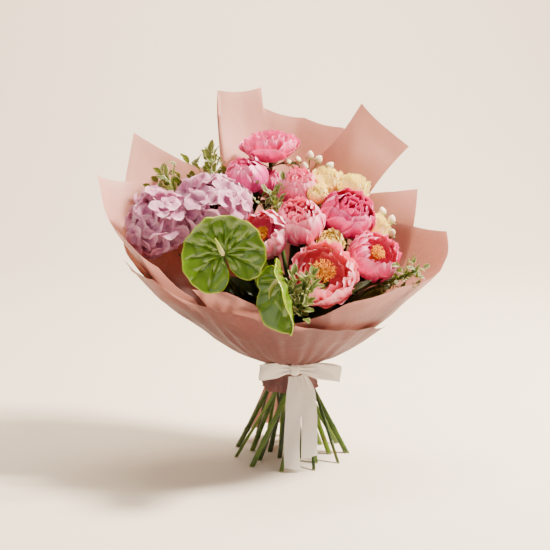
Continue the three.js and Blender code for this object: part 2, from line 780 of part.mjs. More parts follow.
// The bow's routes are [across, forward of the band, up]. A loop's start from the knot's side,
// level with the knot's middle, and a tail's start from the middle of the knot's underside.
const knotLeft = [knot.across - knot.width / 2, knot.up];
const knotRight = [knot.across + knot.width / 2, knot.up];
const knotUnder = [knot.across, knot.up - knot.height / 2];
const upright = vec(0, 0, 1);
const sideways = vec(1, 0, 0);
const bow = [
  {
    name: "ribbon_loop_left",
    wide: upright,
    from: knotLeft,
    route: [
      [-1, 4, 0], [-20.5, 12, 0], [-44.5, 15, -3], [-49.5, 10, -4],
      [-40.5, 4, -3], [-18.5, 1, -1], [-2, 0.8, 0],
    ],
    steps: 14,
    narrow: 0.55,
    isLoop: true,
  },
  {
    name: "ribbon_loop_right",
    wide: upright,
    from: knotRight,
    route: [
      [1, 4, 0], [20.5, 12, 0], [52.5, 17, -3], [64.5, 12, -5],
      [52.5, 2, -3], [22.5, 0, -1], [2, 0.8, 0],
    ],
    steps: 14,
    narrow: 0.55,
    isLoop: true,
  },
  {
    name: "ribbon_tail_left",
    wide: sideways,
    from: knotUnder,
    route: [[-1.5, 6, -1], [-1.5, 12, -20.5], [-3, 24, -60.5], [-5.5, 40, -102.5], [-4.5, 53, -135.5]],
    steps: 9,
    narrow: 0.7,
  },
  {
    name: "ribbon_tail_right",
    wide: sideways,
    from: knotUnder,
    route: [[11, 4, 1], [18, 9, -16.5], [22, 19, -48.5], [22.5, 33, -88.5], [22, 45, -118.5]],
    steps: 9,
    narrow: 0.6,
  },
];
for (const { name, from, wide, route, steps, narrow, isLoop = false } of bow) {
  const points = route.map(([x, forward, z]) => vec(from[0] + x, front - forward, from[1] + z));
  const curve = new THREE.CatmullRomCurve3(points, false, "centripetal");
  add(name, geometryOf(ribbonSolid(curve, wide, steps, narrow, isLoop)), finishes.ribbon);
}

const group = new THREE.Group();
group.add(bunch);
const box = new THREE.Box3().setFromObject(bunch);
const middle = box.getCenter(vec());
bunch.position.set(-middle.x, -middle.y, -box.min.z);

export default group;
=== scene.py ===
"""A hand-tied bunch of peonies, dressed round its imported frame.

Sizes are in millimetres from the middle of the tie unless a name says otherwise, with heights
above the table. `Place.metres` turns them into the row frame.
"""
from __future__ import annotations

import sys

import logging
import math
from dataclasses import dataclass
from enum import Enum

import bpy
import numpy as np
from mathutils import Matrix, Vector


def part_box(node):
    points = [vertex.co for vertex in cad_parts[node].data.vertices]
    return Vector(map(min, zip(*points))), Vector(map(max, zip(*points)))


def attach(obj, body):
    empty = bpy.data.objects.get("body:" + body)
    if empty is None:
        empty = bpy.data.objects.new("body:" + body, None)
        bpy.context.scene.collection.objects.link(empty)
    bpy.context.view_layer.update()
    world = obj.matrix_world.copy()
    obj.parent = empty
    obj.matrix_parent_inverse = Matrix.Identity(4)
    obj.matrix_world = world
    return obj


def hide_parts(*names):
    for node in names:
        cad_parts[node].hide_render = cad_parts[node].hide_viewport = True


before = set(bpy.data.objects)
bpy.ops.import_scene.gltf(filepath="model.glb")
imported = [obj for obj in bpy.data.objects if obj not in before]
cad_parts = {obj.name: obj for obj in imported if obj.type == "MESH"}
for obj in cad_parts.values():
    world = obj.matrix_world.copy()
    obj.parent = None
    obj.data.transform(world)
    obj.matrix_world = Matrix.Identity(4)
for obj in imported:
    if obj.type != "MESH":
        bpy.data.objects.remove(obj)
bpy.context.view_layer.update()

log = logging.getLogger("bunch")
Vec = np.ndarray
Pairs = tuple[tuple[float, float], ...]
Rgb = tuple[float, float, float]

TIE_HEIGHT = 152.0
BODY = "root"
METRES = 0.001  # in a millimetre
GOLDEN = 2.39996  # the golden angle, in radians
TURN = 6.28  # the top of the range that phases and twists are drawn from
CREAM = (250, 226, 214)  # the lightest fibres in the paper


# ---- Small geometry ----


def vec(*xyz: float) -> Vec:
    """Returns a vector as a float array."""
    return np.array(xyz, dtype=float)


def unit(v: Vec) -> Vec:
    """Returns v, or each row of v, at length one."""
    return v / np.maximum(np.linalg.norm(v, axis=-1, keepdims=True), 1e-9)


def smooth(x):
    """Returns the smooth step of x from 0 to 1."""
    x = np.clip(x, 0, 1)
    return x * x * (3 - 2 * x)


def direction(azimuth: float, elevation: float) -> Vec:
    """Returns the unit vector at an azimuth and an elevation in degrees."""
    a, e = math.radians(azimuth), math.radians(elevation)
    return vec(math.cos(a) * math.cos(e), math.sin(a) * math.cos(e), math.sin(e))


def spoke(angle: float) -> Vec:
    """Returns the level unit vector at an azimuth in radians."""
    return vec(math.cos(angle), math.sin(angle), 0)


def basis(axis: Vec) -> Vec:
    """Returns the 3 x 3 turn that takes +Z to axis by the shortest way."""
    turn = Vector((0, 0, 1)).rotation_difference(Vector(axis))
    return np.array(turn.to_matrix())


def rotate(points: Vec, axis: Vec, angle: float) -> Vec:
    """Turns points about an axis through the origin.

    Args:
        points: the points, as rows.
        axis: the unit axis.
        angle: the angle in radians.

    Returns:
        The turned points.
    """
    c, s = math.cos(angle), math.sin(angle)
    return points * c + np.cross(axis, points) * s + np.outer(points @ axis, axis) * (1 - c)


class Ripple:
    """A smooth field made of a few waves, the same each run."""

    def __init__(self, seed: int, scale: float, waves: int = 6) -> None:
        """Draws the waves.

        Args:
            seed: the seed of the draw.
            scale: the typical distance between crests.
            waves: how many waves are summed.
        """
        rng = np.random.default_rng(seed)
        self.k = unit(rng.normal(size=(waves, 3))) * (2 * math.pi / scale)
        self.k *= rng.uniform(0.6, 1.6, (waves, 1))
        self.phase = rng.uniform(0, 2 * math.pi, waves)

    def __call__(self, points: Vec) -> Vec:
        """Returns the field, about -1 to 1, at points whose last axis is x, y, z."""
        return np.sin(points @ self.k.T + self.phase).mean(axis=-1) * 1.6


class Path:
    """A smooth line through dense points, read by the share of its length."""

    def __init__(self, points: Vec) -> None:
        """Measures the line through points, given as rows."""
        self.points = points
        steps = np.linalg.norm(np.diff(points, axis=0), axis=1)
        self.cut = np.concatenate([[0], np.cumsum(steps)])
        self.length = float(self.cut[-1])

    def at(self, share) -> Vec:
        """Returns the points at these shares of the length."""
        where = np.asarray(share, dtype=float) * self.length
        return np.stack([np.interp(where, self.cut, self.points[:, k]) for k in range(3)], -1)

    def tangent(self, share) -> Vec:
        """Returns the unit tangents at these shares of the length."""
        share = np.asarray(share, dtype=float)
        h = 0.004
        return unit(self.at(np.minimum(share + h, 1)) - self.at(np.maximum(share - h, 0)))


def bezier(corners: list[Vec], steps: int) -> Vec:
    """Returns steps + 1 points on the Bezier curve with these corners."""
    t = np.linspace(0, 1, steps + 1)[:, None]
    n = len(corners) - 1
    return sum(math.comb(n, k) * (1 - t) ** (n - k) * t**k * corners[k] for k in range(n + 1))


def spline(points: Vec, steps: int) -> Vec:
    """Runs a centripetal Catmull-Rom curve through points.

    Args:
        points: the points, as rows.
        steps: how many steps each stretch between two points takes.

    Returns:
        Dense points along the curve.
    """
    ends = [2 * points[0] - points[1], *points, 2 * points[-1] - points[-2]]
    out = []
    for k in range(1, len(ends) - 2):
        corners = ends[k - 1 : k + 3]
        knots = [0.0]
        for a, b in zip(corners, corners[1:]):
            knots.append(knots[-1] + max(float(np.linalg.norm(b - a)), 1e-6) ** 0.5)
        for t in np.linspace(knots[1], knots[2], steps, endpoint=False):

            def mix(p, q, i, j):
                return (p * (knots[j] - t) + q * (t - knots[i])) / (knots[j] - knots[i])

            a, b, c = (mix(corners[i], corners[i + 1], i, i + 1) for i in range(3))
            out.append(mix(mix(a, b, 0, 2), mix(b, c, 1, 3), 1, 2))
    out.append(points[-1])
    return np.array(out)


# ---- Meshes ----


def add_object(name: str, data: bpy.types.ID) -> bpy.types.Object:
    """Returns a new object in the scene with this mesh, light or camera."""
    made = bpy.data.objects.new(name, data)
    bpy.context.scene.collection.objects.link(made)
    return made


class Skin:
    """Gathers grids of points into one mesh with its surface attributes.

    The attributes are along (root to tip), across (-1 to 1), seed (one draw for each part) and
    tier (0 for the outermost of its kind to 1 for the innermost).
    """

    NAMES = ("along", "across", "seed", "tier")

    def __init__(self, origin: Vec) -> None:
        """Starts an empty mesh whose millimetres count from origin, in metres."""
        self.origin = origin
        self.points: list[Vec] = []
        self.values: list[Vec] = []
        self.faces: list[Vec] = []
        self.count = 0

    def grid(self, points: Vec, along, across, seed: float, tier: float = 0.0,
             wrap: bool = False, caps: bool = False) -> None:
        """Adds a grid of points as quads.

        Args:
            points: rows x columns x 3.
            along: the attribute along, which broadcasts to rows x columns.
            across: the attribute across, likewise.
            seed: the part's draw.
            tier: the part's tier.
            wrap: whether the last column joins the first.
            caps: whether the first and last rows are closed with a fan face.
        """
        rows, columns = points.shape[:2]
        shape = (rows, columns)
        values = np.stack([np.broadcast_to(v, shape) for v in (along, across, seed, tier)], -1)
        self.points.append(points.reshape(-1, 3))
        self.values.append(values.reshape(-1, 4))
        i, j = np.meshgrid(np.arange(rows - 1), np.arange(columns - (not wrap)), indexing="ij")
        k = (j + 1) % columns
        quads = np.stack([i * columns + j, i * columns + k, (i + 1) * columns + k,
                          (i + 1) * columns + j], -1).reshape(-1, 4)
        self.faces.extend((quads + self.count).tolist())
        if caps:
            first = np.arange(columns)
            self.faces.append((first[::-1] + self.count).tolist())
            self.faces.append((first + (rows - 1) * columns + self.count).tolist())
        self.count += rows * columns

    def tube(self, line: Vec, radius, sides: int, seed: float, tier: float = 0.0,
             flat_foot: float | None = None) -> None:
        """Adds a closed round tube along a line.

        Args:
            line: the points of its middle, as rows.
            radius: one radius, one for each point, or one for each point and side.
            sides: how many sides its section has.
            seed: the part's draw.
            tier: the part's tier.
            flat_foot: the height that the first ring is cut level at, if any.
        """
        tangent = unit(np.gradient(line, axis=0))
        ref = vec(0, 0, 1) if abs(tangent[0][2]) < 0.9 else vec(1, 0, 0)
        side = unit(np.cross(ref, tangent[0]))
        sides_of = []
        for t in tangent:
            side = unit(side - t * (side @ t))
            sides_of.append(side)
        u = np.array(sides_of)
        v = np.cross(tangent, u)
        a = np.linspace(0, 2 * math.pi, sides, endpoint=False)
        radius = np.asarray(radius, dtype=float)
        radius = np.broadcast_to(radius[:, None] if radius.ndim == 1 else radius, (len(line), sides))
        ring = np.cos(a)[None, :, None] * u[:, None] + np.sin(a)[None, :, None] * v[:, None]
        points = line[:, None] + ring * radius[..., None]
        if flat_foot is not None:
            points[0] += tangent[0] * ((flat_foot - points[0][:, 2]) / tangent[0][2])[:, None]
        along = np.linspace(0, 1, len(line))[:, None]
        self.grid(points, along, np.cos(a)[None, :], seed, tier, wrap=True, caps=True)

    def build(self, name: str, finish: Finish, slot: str, *nodes: str) -> bpy.types.Object:
        """Makes the object and rides it on the bunch.

        Args:
            name: the object's name.
            finish: its finish.
            slot: the name of a finish slot; not used.
            nodes: the CAD nodes that it replaces, if any.

        Returns:
            The object.
        """
        material = finish.build()
        points = np.concatenate(self.points) * METRES + self.origin
        mesh = bpy.data.meshes.new(name)
        mesh.from_pydata(points.tolist(), [], self.faces)
        values = np.concatenate(self.values)
        for k, title in enumerate(self.NAMES):
            layer = mesh.attributes.new(title, "FLOAT", "POINT")
            layer.data.foreach_set("value", np.ascontiguousarray(values[:, k], dtype=np.float32))
        mesh.polygons.foreach_set("use_smooth", np.ones(len(mesh.polygons), dtype=bool))
        mesh.materials.append(material)
        mesh.update()
        piece = add_object(name, mesh)
        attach(piece, BODY)
        log.info("%s: %d faces", name, len(mesh.polygons))
        if nodes:
            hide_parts(*nodes)
        return piece


# ---- Finishes ----


class Graph:
    """Adds nodes to one node tree and joins them."""

    def __init__(self, tree: bpy.types.NodeTree) -> None:
        """Works on tree."""
        self.tree = tree

    def node(self, kind: str, settings: dict | None = None, **inputs) -> bpy.types.Node:
        """Adds a node.

        Args:
            kind: the node's type name after "ShaderNode".
            settings: the node's own properties.
            inputs: its inputs by name, or by index as i0, i1; a socket is linked, a value is set.

        Returns:
            The node.
        """
        made = self.tree.nodes.new("ShaderNode" + kind)
        for key, value in (settings or {}).items():
            setattr(made, key, value)
        for key, value in inputs.items():
            socket = made.inputs[int(key[1:])] if key[1:].isdigit() else made.inputs[key.replace("_", " ")]
            if isinstance(value, bpy.types.NodeSocket):
                self.tree.links.new(value, socket)
            else:
                socket.default_value = value
        return made

    def math(self, operation: str, a, b=0.0, c=0.0) -> bpy.types.NodeSocket:
        """Returns the result of a Math node."""
        return self.node("Math", {"operation": operation}, i0=a, i1=b, i2=c).outputs[0]

    def times(self, a, b) -> bpy.types.NodeSocket:
        """Returns a times b."""
        return self.math("MULTIPLY", a, b)

    def plus(self, a, b) -> bpy.types.NodeSocket:
        """Returns a plus b."""
        return self.math("ADD", a, b)

    def sway(self, noise, by, base) -> bpy.types.NodeSocket:
        """Returns base moved up and down by a noise round one half."""
        return self.math("MULTIPLY_ADD", self.math("SUBTRACT", noise, 0.5), by, base)

    def darken(self, colour, shade) -> bpy.types.NodeSocket:
        """Returns a colour multiplied by a shade."""
        return self.mix(1.0, colour, self.join(shade, shade, shade), "MULTIPLY")

    def use(self, tree: bpy.types.NodeTree, **inputs) -> tuple:
        """Returns the colour and the height that a group gives a surface with these inputs."""
        made = self.node("Group", {"node_tree": tree}, Along=self.value("along"),
                         Across=self.value("across"), Seed=self.value("seed"), **inputs)
        return made.outputs["Color"], made.outputs["Height"]

    def ramp(self, value, low, high, start=0.0, end=1.0) -> bpy.types.NodeSocket:
        """Returns value taken smoothly from low..high to start..end."""
        settings = {"interpolation_type": "SMOOTHSTEP"}
        return self.node("MapRange", settings, i0=value, i1=low, i2=high, i3=start, i4=end).outputs[0]

    def mix(self, share, a, b, blend: str = "MIX") -> bpy.types.NodeSocket:
        """Returns two colours mixed by share."""
        made = self.node("Mix", {"data_type": "RGBA", "blend_type": blend}, i0=share, i6=a, i7=b)
        return made.outputs[2]

    def noise(self, vector, scale, detail=3.0, rough=0.55) -> bpy.types.NodeSocket:
        """Returns the factor of a Noise Texture."""
        return self.node("TexNoise", None, Vector=vector, Scale=scale, Detail=detail,
                         Roughness=rough).outputs[0]

    def value(self, name: str) -> bpy.types.NodeSocket:
        """Returns a mesh attribute's value."""
        return self.node("Attribute", {"attribute_name": name}).outputs["Fac"]

    def join(self, *parts) -> bpy.types.NodeSocket:
        """Returns a vector made of up to three values."""
        x, y, z = (*parts, 0.0, 0.0)[:3]
        return self.node("CombineXYZ", None, X=x, Y=y, Z=z).outputs[0]


def srgb(r: float, g: float, b: float) -> tuple[float, float, float, float]:
    """Returns a linear colour with alpha from 0 to 255 values."""
    out = [c / 255 for c in (r, g, b)]
    out = [c / 12.92 if c <= 0.04045 else ((c + 0.055) / 1.055) ** 2.4 for c in out]
    return (*out, 1.0)


def group(name: str, inputs: dict, outputs: dict, body) -> bpy.types.NodeTree:
    """Builds a shader node group once.

    Args:
        name: the group's name.
        inputs: input names with their defaults; a tuple of four is a colour.
        outputs: output names with "Color" or "Float".
        body: a function of (graph, inputs by name) that returns the output sockets by name.

    Returns:
        The group.
    """
    if name in bpy.data.node_groups:
        return bpy.data.node_groups[name]
    tree = bpy.data.node_groups.new(name, "ShaderNodeTree")
    for title, default in inputs.items():
        kind = "NodeSocketColor" if isinstance(default, tuple) else "NodeSocketFloat"
        tree.interface.new_socket(title, in_out="INPUT", socket_type=kind).default_value = default
    for title, kind in outputs.items():
        tree.interface.new_socket(title, in_out="OUTPUT", socket_type="NodeSocket" + kind)
    graph = Graph(tree)
    entry = tree.nodes.new("NodeGroupInput")
    leave = tree.nodes.new("NodeGroupOutput")
    made = body(graph, {title: entry.outputs[title] for title in inputs})
    for title, socket in made.items():
        tree.links.new(socket, leave.inputs[title])
    return tree


def petal_tint() -> bpy.types.NodeTree:
    """Returns the group that colours a petal from root to edge, with fine streaks."""

    def body(g: Graph, i: dict) -> dict:
        along, across, seed = i["Along"], i["Across"], i["Seed"]
        offset = g.times(seed, 41.0)
        fine = g.noise(g.join(g.times(across, 9.0), g.times(along, 1.3), offset), 4.0)
        broad = g.noise(g.join(g.times(across, 1.6), g.times(along, 1.4), offset), 1.7)
        wander = g.sway(fine, i["Streak"], along)
        wander = g.sway(broad, 0.3, wander)
        rim = g.math("POWER", g.math("ABSOLUTE", across), 6.0)
        edge_at = g.math("MULTIPLY_ADD", rim, 0.22, wander)
        colour = g.mix(g.ramp(wander, 0.05, 0.62), i["Root"], i["Middle"])
        start = g.math("SUBTRACT", 1.0, i["Edge Width"])
        colour = g.mix(g.ramp(edge_at, start, 1.02), colour, i["Edge"])
        vein = g.ramp(fine, 0.5, 0.78)
        colour = g.mix(g.times(vein, 0.1), colour, i["Root"])
        shade = g.math("MULTIPLY_ADD", seed, 0.16, 0.92)
        shade = g.sway(broad, 0.16, shade)
        colour = g.darken(colour, shade)
        return {"Color": colour, "Height": g.plus(fine, g.times(broad, 0.6))}

    inputs = {"Along": 0.0, "Across": 0.0, "Seed": 0.0, "Root": (1, 0, 0, 1), "Middle": (1, 0, 0, 1),
              "Edge": (1, 1, 1, 1), "Edge Width": 0.3, "Streak": 0.25}
    return group("PetalTint", inputs, {"Color": "Color", "Height": "Float"}, body)


def leaf_veins() -> bpy.types.NodeTree:
    """Returns the group for a leaf's midrib, side veins and margin."""

    def body(g: Graph, i: dict) -> dict:
        side = g.math("ABSOLUTE", i["Across"])
        rib = g.ramp(side, 0.0, 0.09, 1.0, 0.0)
        run = g.math("MULTIPLY_ADD", side, -0.35, i["Along"])
        wave = g.math("SINE", g.times(run, i["Veins"]))
        vein = g.ramp(wave, 0.72, 1.0)
        mask = g.math("MAXIMUM", rib, g.times(vein, 0.6))
        spot = g.noise(g.join(g.times(i["Across"], 2.0), g.times(i["Along"], 4.0),
                              g.times(i["Seed"], 31.0)), 2.4, 5.0)
        edge = g.ramp(g.sway(spot, 0.35, side), i["Margin"],
                      g.plus(i["Margin"], 0.12))
        colour = g.mix(g.times(mask, i["Strength"]), i["Blade"], i["Vein"])
        shade = g.plus(g.sway(spot, 0.7, 0.84),
                       g.times(i["Seed"], 0.32))
        colour = g.darken(colour, shade)
        colour = g.mix(edge, colour, i["Edge"])
        height = g.math("MULTIPLY_ADD", mask, -1.0, g.times(spot, 0.4))
        return {"Color": colour, "Height": height}

    inputs = {"Along": 0.0, "Across": 0.0, "Seed": 0.0, "Blade": (0, 1, 0, 1), "Vein": (1, 1, 0, 1),
              "Edge": (1, 1, 1, 1), "Margin": 2.0, "Veins": 60.0, "Strength": 0.5}
    return group("LeafVeins", inputs, {"Color": "Color", "Height": "Float"}, body)


def fibre() -> bpy.types.NodeTree:
    """Returns the group for the felted fibres and small creases of paper and pith."""

    def body(g: Graph, i: dict) -> dict:
        where = g.node("TexCoord").outputs["Object"]
        warp = g.noise(where, g.times(i["Scale"], 0.12), 2.0)
        bent = g.node("VectorMath", {"operation": "ADD"}, i0=where,
                      i1=g.join(g.times(warp, 0.02), g.times(warp, -0.014),
                                0.0)).outputs[0]
        felt = g.noise(bent, i["Scale"], 6.0, 0.68)
        cloud = g.noise(where, g.times(i["Scale"], 0.05), 4.0, 0.6)
        crease = g.math("ABSOLUTE", g.math("SUBTRACT", g.noise(bent, g.times(i["Scale"], 0.045),
                                                              2.0, 0.5), 0.5))
        crease = g.ramp(crease, 0.0, 0.035, 1.0, 0.0)
        return {"Felt": felt, "Cloud": cloud, "Crease": crease}

    return group("Fibre", {"Scale": 900.0}, {"Felt": "Float", "Cloud": "Float", "Crease": "Float"}, body)


@dataclass(frozen=True)
class Finish:
    """What every finish shares: its name and its shader's constants."""

    name: str
    rough: float = 0.6
    through: float = 0.0
    sheen: float = 0.0
    coat: float = 0.0
    bump: float = 0.3
    bump_mm: float = 0.3
    glow: Rgb = (230, 120, 120)

    def shade(self, g: Graph) -> tuple:
        """Returns the sockets for colour, bump height and roughness, the last two or None."""
        raise NotImplementedError

    def build(self) -> bpy.types.Material:
        """Makes the material once and returns it."""
        if self.name in bpy.data.materials:
            return bpy.data.materials[self.name]
        material = bpy.data.materials.new(self.name)
        material.use_nodes = True
        material.node_tree.nodes.clear()
        g = Graph(material.node_tree)
        colour, height, rough = self.shade(g)
        shader = g.node("BsdfPrincipled", None, Base_Color=colour, Roughness=self.rough,
                        Sheen_Weight=self.sheen, Sheen_Roughness=0.4, Coat_Weight=self.coat,
                        Coat_Roughness=0.12)
        if rough is not None:
            g.tree.links.new(rough, shader.inputs["Roughness"])
        if height is not None:
            bump = g.node("Bump", None, Height=height, Strength=self.bump, Distance=self.bump_mm * METRES)
            g.tree.links.new(bump.outputs[0], shader.inputs["Normal"])
        out = shader.outputs[0]
        if self.through:
            glow = g.node("BsdfTranslucent", None, Color=srgb(*self.glow))
            out = g.node("MixShader", None, i0=self.through, i1=out, i2=glow.outputs[0]).outputs[0]
        g.node("OutputMaterial", None, Surface=out)
        return material


@dataclass(frozen=True)
class PetalFinish(Finish):
    """A soft petal that pales from its root to its edge."""

    root: Rgb = (150, 30, 50)
    middle: Rgb = (220, 90, 110)
    edge: Rgb = (250, 225, 225)
    edge_width: float = 0.3
    streak: float = 0.12

    def shade(self, g: Graph) -> tuple:
        """Returns the petal's colour, relief and no roughness."""
        return *g.use(petal_tint(), Root=srgb(*self.root), Middle=srgb(*self.middle),
                      Edge=srgb(*self.edge), Edge_Width=self.edge_width, Streak=self.streak), None


@dataclass(frozen=True)
class LeafFinish(Finish):
    """A leaf blade with a midrib, side veins and, if margin is under 1, a pale edge."""

    glow: Rgb = (130, 150, 50)
    blade: Rgb = (50, 70, 25)
    vein: Rgb = (120, 140, 60)
    edge: Rgb = (200, 200, 150)
    margin: float = 2.0
    veins: float = 60.0
    strength: float = 0.5

    def shade(self, g: Graph) -> tuple:
        """Returns the leaf's colour, relief and no roughness."""
        return *g.use(leaf_veins(), Blade=srgb(*self.blade), Vein=srgb(*self.vein),
                      Edge=srgb(*self.edge), Margin=self.margin, Veins=self.veins,
                      Strength=self.strength), None


@dataclass(frozen=True)
class StemFinish(Finish):
    """A smooth stem: ribbed lengthwise, flushed in places and pale at its cut."""

    skin: Rgb = (30, 54, 6)
    flush: Rgb = (96, 70, 28)
    light: Rgb = (94, 124, 20)

    def shade(self, g: Graph) -> tuple:
        """Returns the stem's colour, relief and roughness."""
        along, across, seed = g.value("along"), g.value("across"), g.value("seed")
        where = g.node("TexCoord").outputs["Object"]
        broad = g.noise(where, 26.0, 4.0)
        fleck = g.noise(where, 420.0, 3.0, 0.7)
        rib = g.math("SINE", g.times(across, 16.0))
        shift = g.plus(g.times(seed, 0.8), g.math("SUBTRACT", broad, 0.5))
        colour = g.mix(g.ramp(shift, 0.1, 0.9), srgb(*self.skin), srgb(*self.light))
        colour = g.mix(g.times(g.ramp(broad, 0.56, 0.75), 0.6), colour, srgb(*self.flush))
        colour = g.mix(g.times(g.ramp(fleck, 0.62, 0.75), 0.35), colour, srgb(*self.light))
        cut = g.ramp(along, 0.0, 0.006, 1.0, 0.0)
        colour = g.mix(g.times(cut, 0.8), colour, srgb(196, 196, 140))
        height = g.plus(g.times(rib, 0.35), fleck)
        return colour, height, g.ramp(fleck, 0.3, 0.7, self.rough - 0.08, self.rough + 0.12)


@dataclass(frozen=True)
class PaperFinish(Finish):
    """Felted florist paper, with painted shade that darkens it near the tie and pales towards its rim."""

    face: Rgb = (216, 158, 146)
    # The two colours below are painted shade: the paper darkens through them towards the tie.
    painted_half_shade: Rgb = (194, 128, 120)
    deep: Rgb = (96, 46, 50)

    def shade(self, g: Graph) -> tuple:
        """Returns the paper's colour, relief and roughness."""
        made = g.node("Group", {"node_tree": fibre()}, Scale=900.0)
        felt, cloud, crease = (made.outputs[k] for k in ("Felt", "Cloud", "Crease"))
        along = g.value("along")
        # Painted shade: the paper is darkest near the tie and pales along its length to its rim colour.
        colour = g.mix(g.ramp(along, 0.38, 0.74), srgb(*self.deep), srgb(*self.painted_half_shade))
        colour = g.mix(g.ramp(along, 0.58, 0.9), colour, srgb(*self.face))
        shade = g.ramp(cloud, 0.3, 0.7, 1.02, 0.94)
        colour = g.darken(colour, shade)
        colour = g.mix(g.times(g.ramp(felt, 0.35, 0.7), 0.1), colour, srgb(*CREAM))
        colour = g.mix(g.times(crease, 0.04), colour, srgb(*CREAM))
        height = g.plus(g.times(crease, 1.1), g.times(felt, 0.5))
        return colour, height, g.ramp(felt, 0.3, 0.7, self.rough - 0.06, self.rough + 0.08)


@dataclass(frozen=True)
class SatinFinish(Finish):
    """Woven satin with a fine weave across it and a firm selvedge."""

    face: Rgb = (240, 234, 226)
    shade_side: Rgb = (214, 204, 192)

    def shade(self, g: Graph) -> tuple:
        """Returns the satin's colour, relief and roughness."""
        along, across = g.value("along"), g.value("across")
        rib = g.math("SINE", g.times(along, 900.0))
        slub = g.noise(g.join(g.times(across, 40.0), g.times(along, 3.0)), 3.0)
        selvedge = g.ramp(g.math("ABSOLUTE", across), 0.88, 0.95)
        colour = g.mix(g.ramp(slub, 0.35, 0.7), srgb(*self.face), srgb(*self.shade_side))
        colour = g.mix(g.times(selvedge, 0.35), colour, srgb(250, 247, 242))
        height = g.plus(g.times(rib, 0.3), g.times(selvedge, 1.5))
        return colour, height, g.ramp(slub, 0.3, 0.7, self.rough - 0.05, self.rough + 0.1)


@dataclass(frozen=True)
class GrainFinish(Finish):
    """A grown skin coloured from root to tip, with fine grain: berries, anthers and tape."""

    root: Rgb = (200, 200, 140)
    tip: Rgb = (235, 220, 180)
    speck: Rgb = (160, 120, 70)
    grain: float = 300.0
    specks: float = 0.3

    def shade(self, g: Graph) -> tuple:
        """Returns the skin's colour, relief and no roughness."""
        where = g.node("TexCoord").outputs["Object"]
        grain = g.noise(where, self.grain, 4.0, 0.65)
        colour = g.mix(g.ramp(g.value("along"), 0.1, 0.75), srgb(*self.root), srgb(*self.tip))
        colour = g.mix(g.times(g.ramp(grain, 0.55, 0.75), self.specks), colour, srgb(*self.speck))
        shade = g.math("MULTIPLY_ADD", g.value("seed"), 0.26, 0.84)
        colour = g.darken(colour, shade)
        return colour, grain, None


def peony_petal(number: int, glow: Rgb, root: Rgb, middle: Rgb, edge: Rgb, edge_width: float,
                streak: float = 0.12, through: float = 0.25) -> PetalFinish:
    """Returns the finish of one peony's petals.

    Args:
        number: the peony's number.
        glow: the colour of the light that comes through.
        root: the colour at the root.
        middle: the colour at the middle.
        edge: the colour at the edge.
        edge_width: the edge's share of the petal.
        streak: how far the streaks run.
        through: the share of the light that comes through.
    """
    return PetalFinish(f"petal_peony_{number}", 0.5, through, 0.25, glow=glow, root=root,
                       middle=middle, edge=edge, edge_width=edge_width, streak=streak)


class Petals(Enum):
    """The finishes of the flowers' petals."""

    P1 = peony_petal(1, (240, 50, 130), (208, 4, 110), (230, 32, 138), (253, 160, 204), 0.24, 0.14)
    P2 = peony_petal(2, (245, 70, 140), (222, 30, 128), (240, 72, 166), (255, 180, 220), 0.22, 0.1)
    P3 = peony_petal(3, (240, 60, 120), (200, 10, 106), (228, 44, 134), (250, 150, 196), 0.2)
    P4 = peony_petal(4, (245, 80, 130), (220, 36, 106), (240, 78, 142), (255, 186, 212), 0.26)
    P5 = peony_petal(5, (240, 80, 120), (216, 40, 104), (238, 84, 142), (253, 186, 210), 0.26)
    P6 = peony_petal(6, (235, 20, 115), (176, 0, 90), (224, 6, 126), (252, 140, 202), 0.18, through=0.2)
    P7 = peony_petal(7, (245, 100, 140), (240, 104, 150), (243, 116, 162), (254, 204, 224), 0.3, 0.14)
    P8 = peony_petal(8, (250, 110, 130), (244, 106, 134), (248, 114, 150), (255, 190, 208), 0.26, 0.14)
    P9 = peony_petal(9, (240, 60, 130), (230, 44, 128), (243, 60, 152), (252, 166, 206), 0.22)
    ROSE = PetalFinish("petal_rose", 0.6, 0.3, 0.15, glow=(252, 224, 120), root=(240, 190, 44),
                       middle=(252, 232, 110), edge=(255, 248, 186), edge_width=0.35)
    HYDRANGEA = PetalFinish("petal_hydrangea", 0.6, 0.35, 0.1, glow=(220, 160, 190),
                            root=(190, 120, 162), middle=(222, 158, 192), edge=(242, 200, 216),
                            edge_width=0.35, streak=0.3)


LEAF = LeafFinish("leaf_peony", 0.42, 0.15, bump=0.6, bump_mm=0.4, blade=(22, 44, 10), vein=(70, 96, 30))
SPRIG_LEAF = LeafFinish("leaf_pittosporum", 0.4, 0.2, bump=0.4, blade=(78, 96, 34), vein=(128, 138, 70),
                        edge=(214, 208, 150), margin=0.74, veins=44.0)
CALYX = LeafFinish("calyx", 0.5, 0.15, blade=(84, 116, 28), vein=(132, 152, 60), veins=30.0)
SPATHE = LeafFinish("spathe", 0.14, 0.06, coat=0.6, bump=0.35, bump_mm=0.5, blade=(86, 122, 0),
                    vein=(120, 150, 14), edge=(168, 190, 20), margin=0.91, veins=0.0, strength=0.2)
STEM = StemFinish("stem", 0.42, bump=0.35, bump_mm=0.25)
PAPER = PaperFinish("paper", 0.5, 0.26, glow=(224, 150, 130), bump=0.12, bump_mm=0.3)
SATIN = SatinFinish("satin", 0.26, 0.12, glow=(236, 226, 214), sheen=0.3, bump=0.2, bump_mm=0.08)
BERRY = GrainFinish("berry", 0.28, coat=0.25, bump=0.12, root=(206, 204, 140), tip=(242, 226, 190))
ANTHER = GrainFinish("anther", 0.7, 0.1, glow=(236, 170, 70), bump=0.8, root=(246, 186, 40),
                     tip=(242, 160, 12), speck=(150, 84, 24), grain=900.0)
SPADIX = GrainFinish("spadix", 0.5, bump=0.5, root=(226, 216, 150), tip=(150, 164, 60), grain=700.0)
TAPE = GrainFinish("tape", 0.6, bump=0.4, root=(62, 84, 40), tip=(70, 96, 46), grain=500.0)


# ---- Places ----


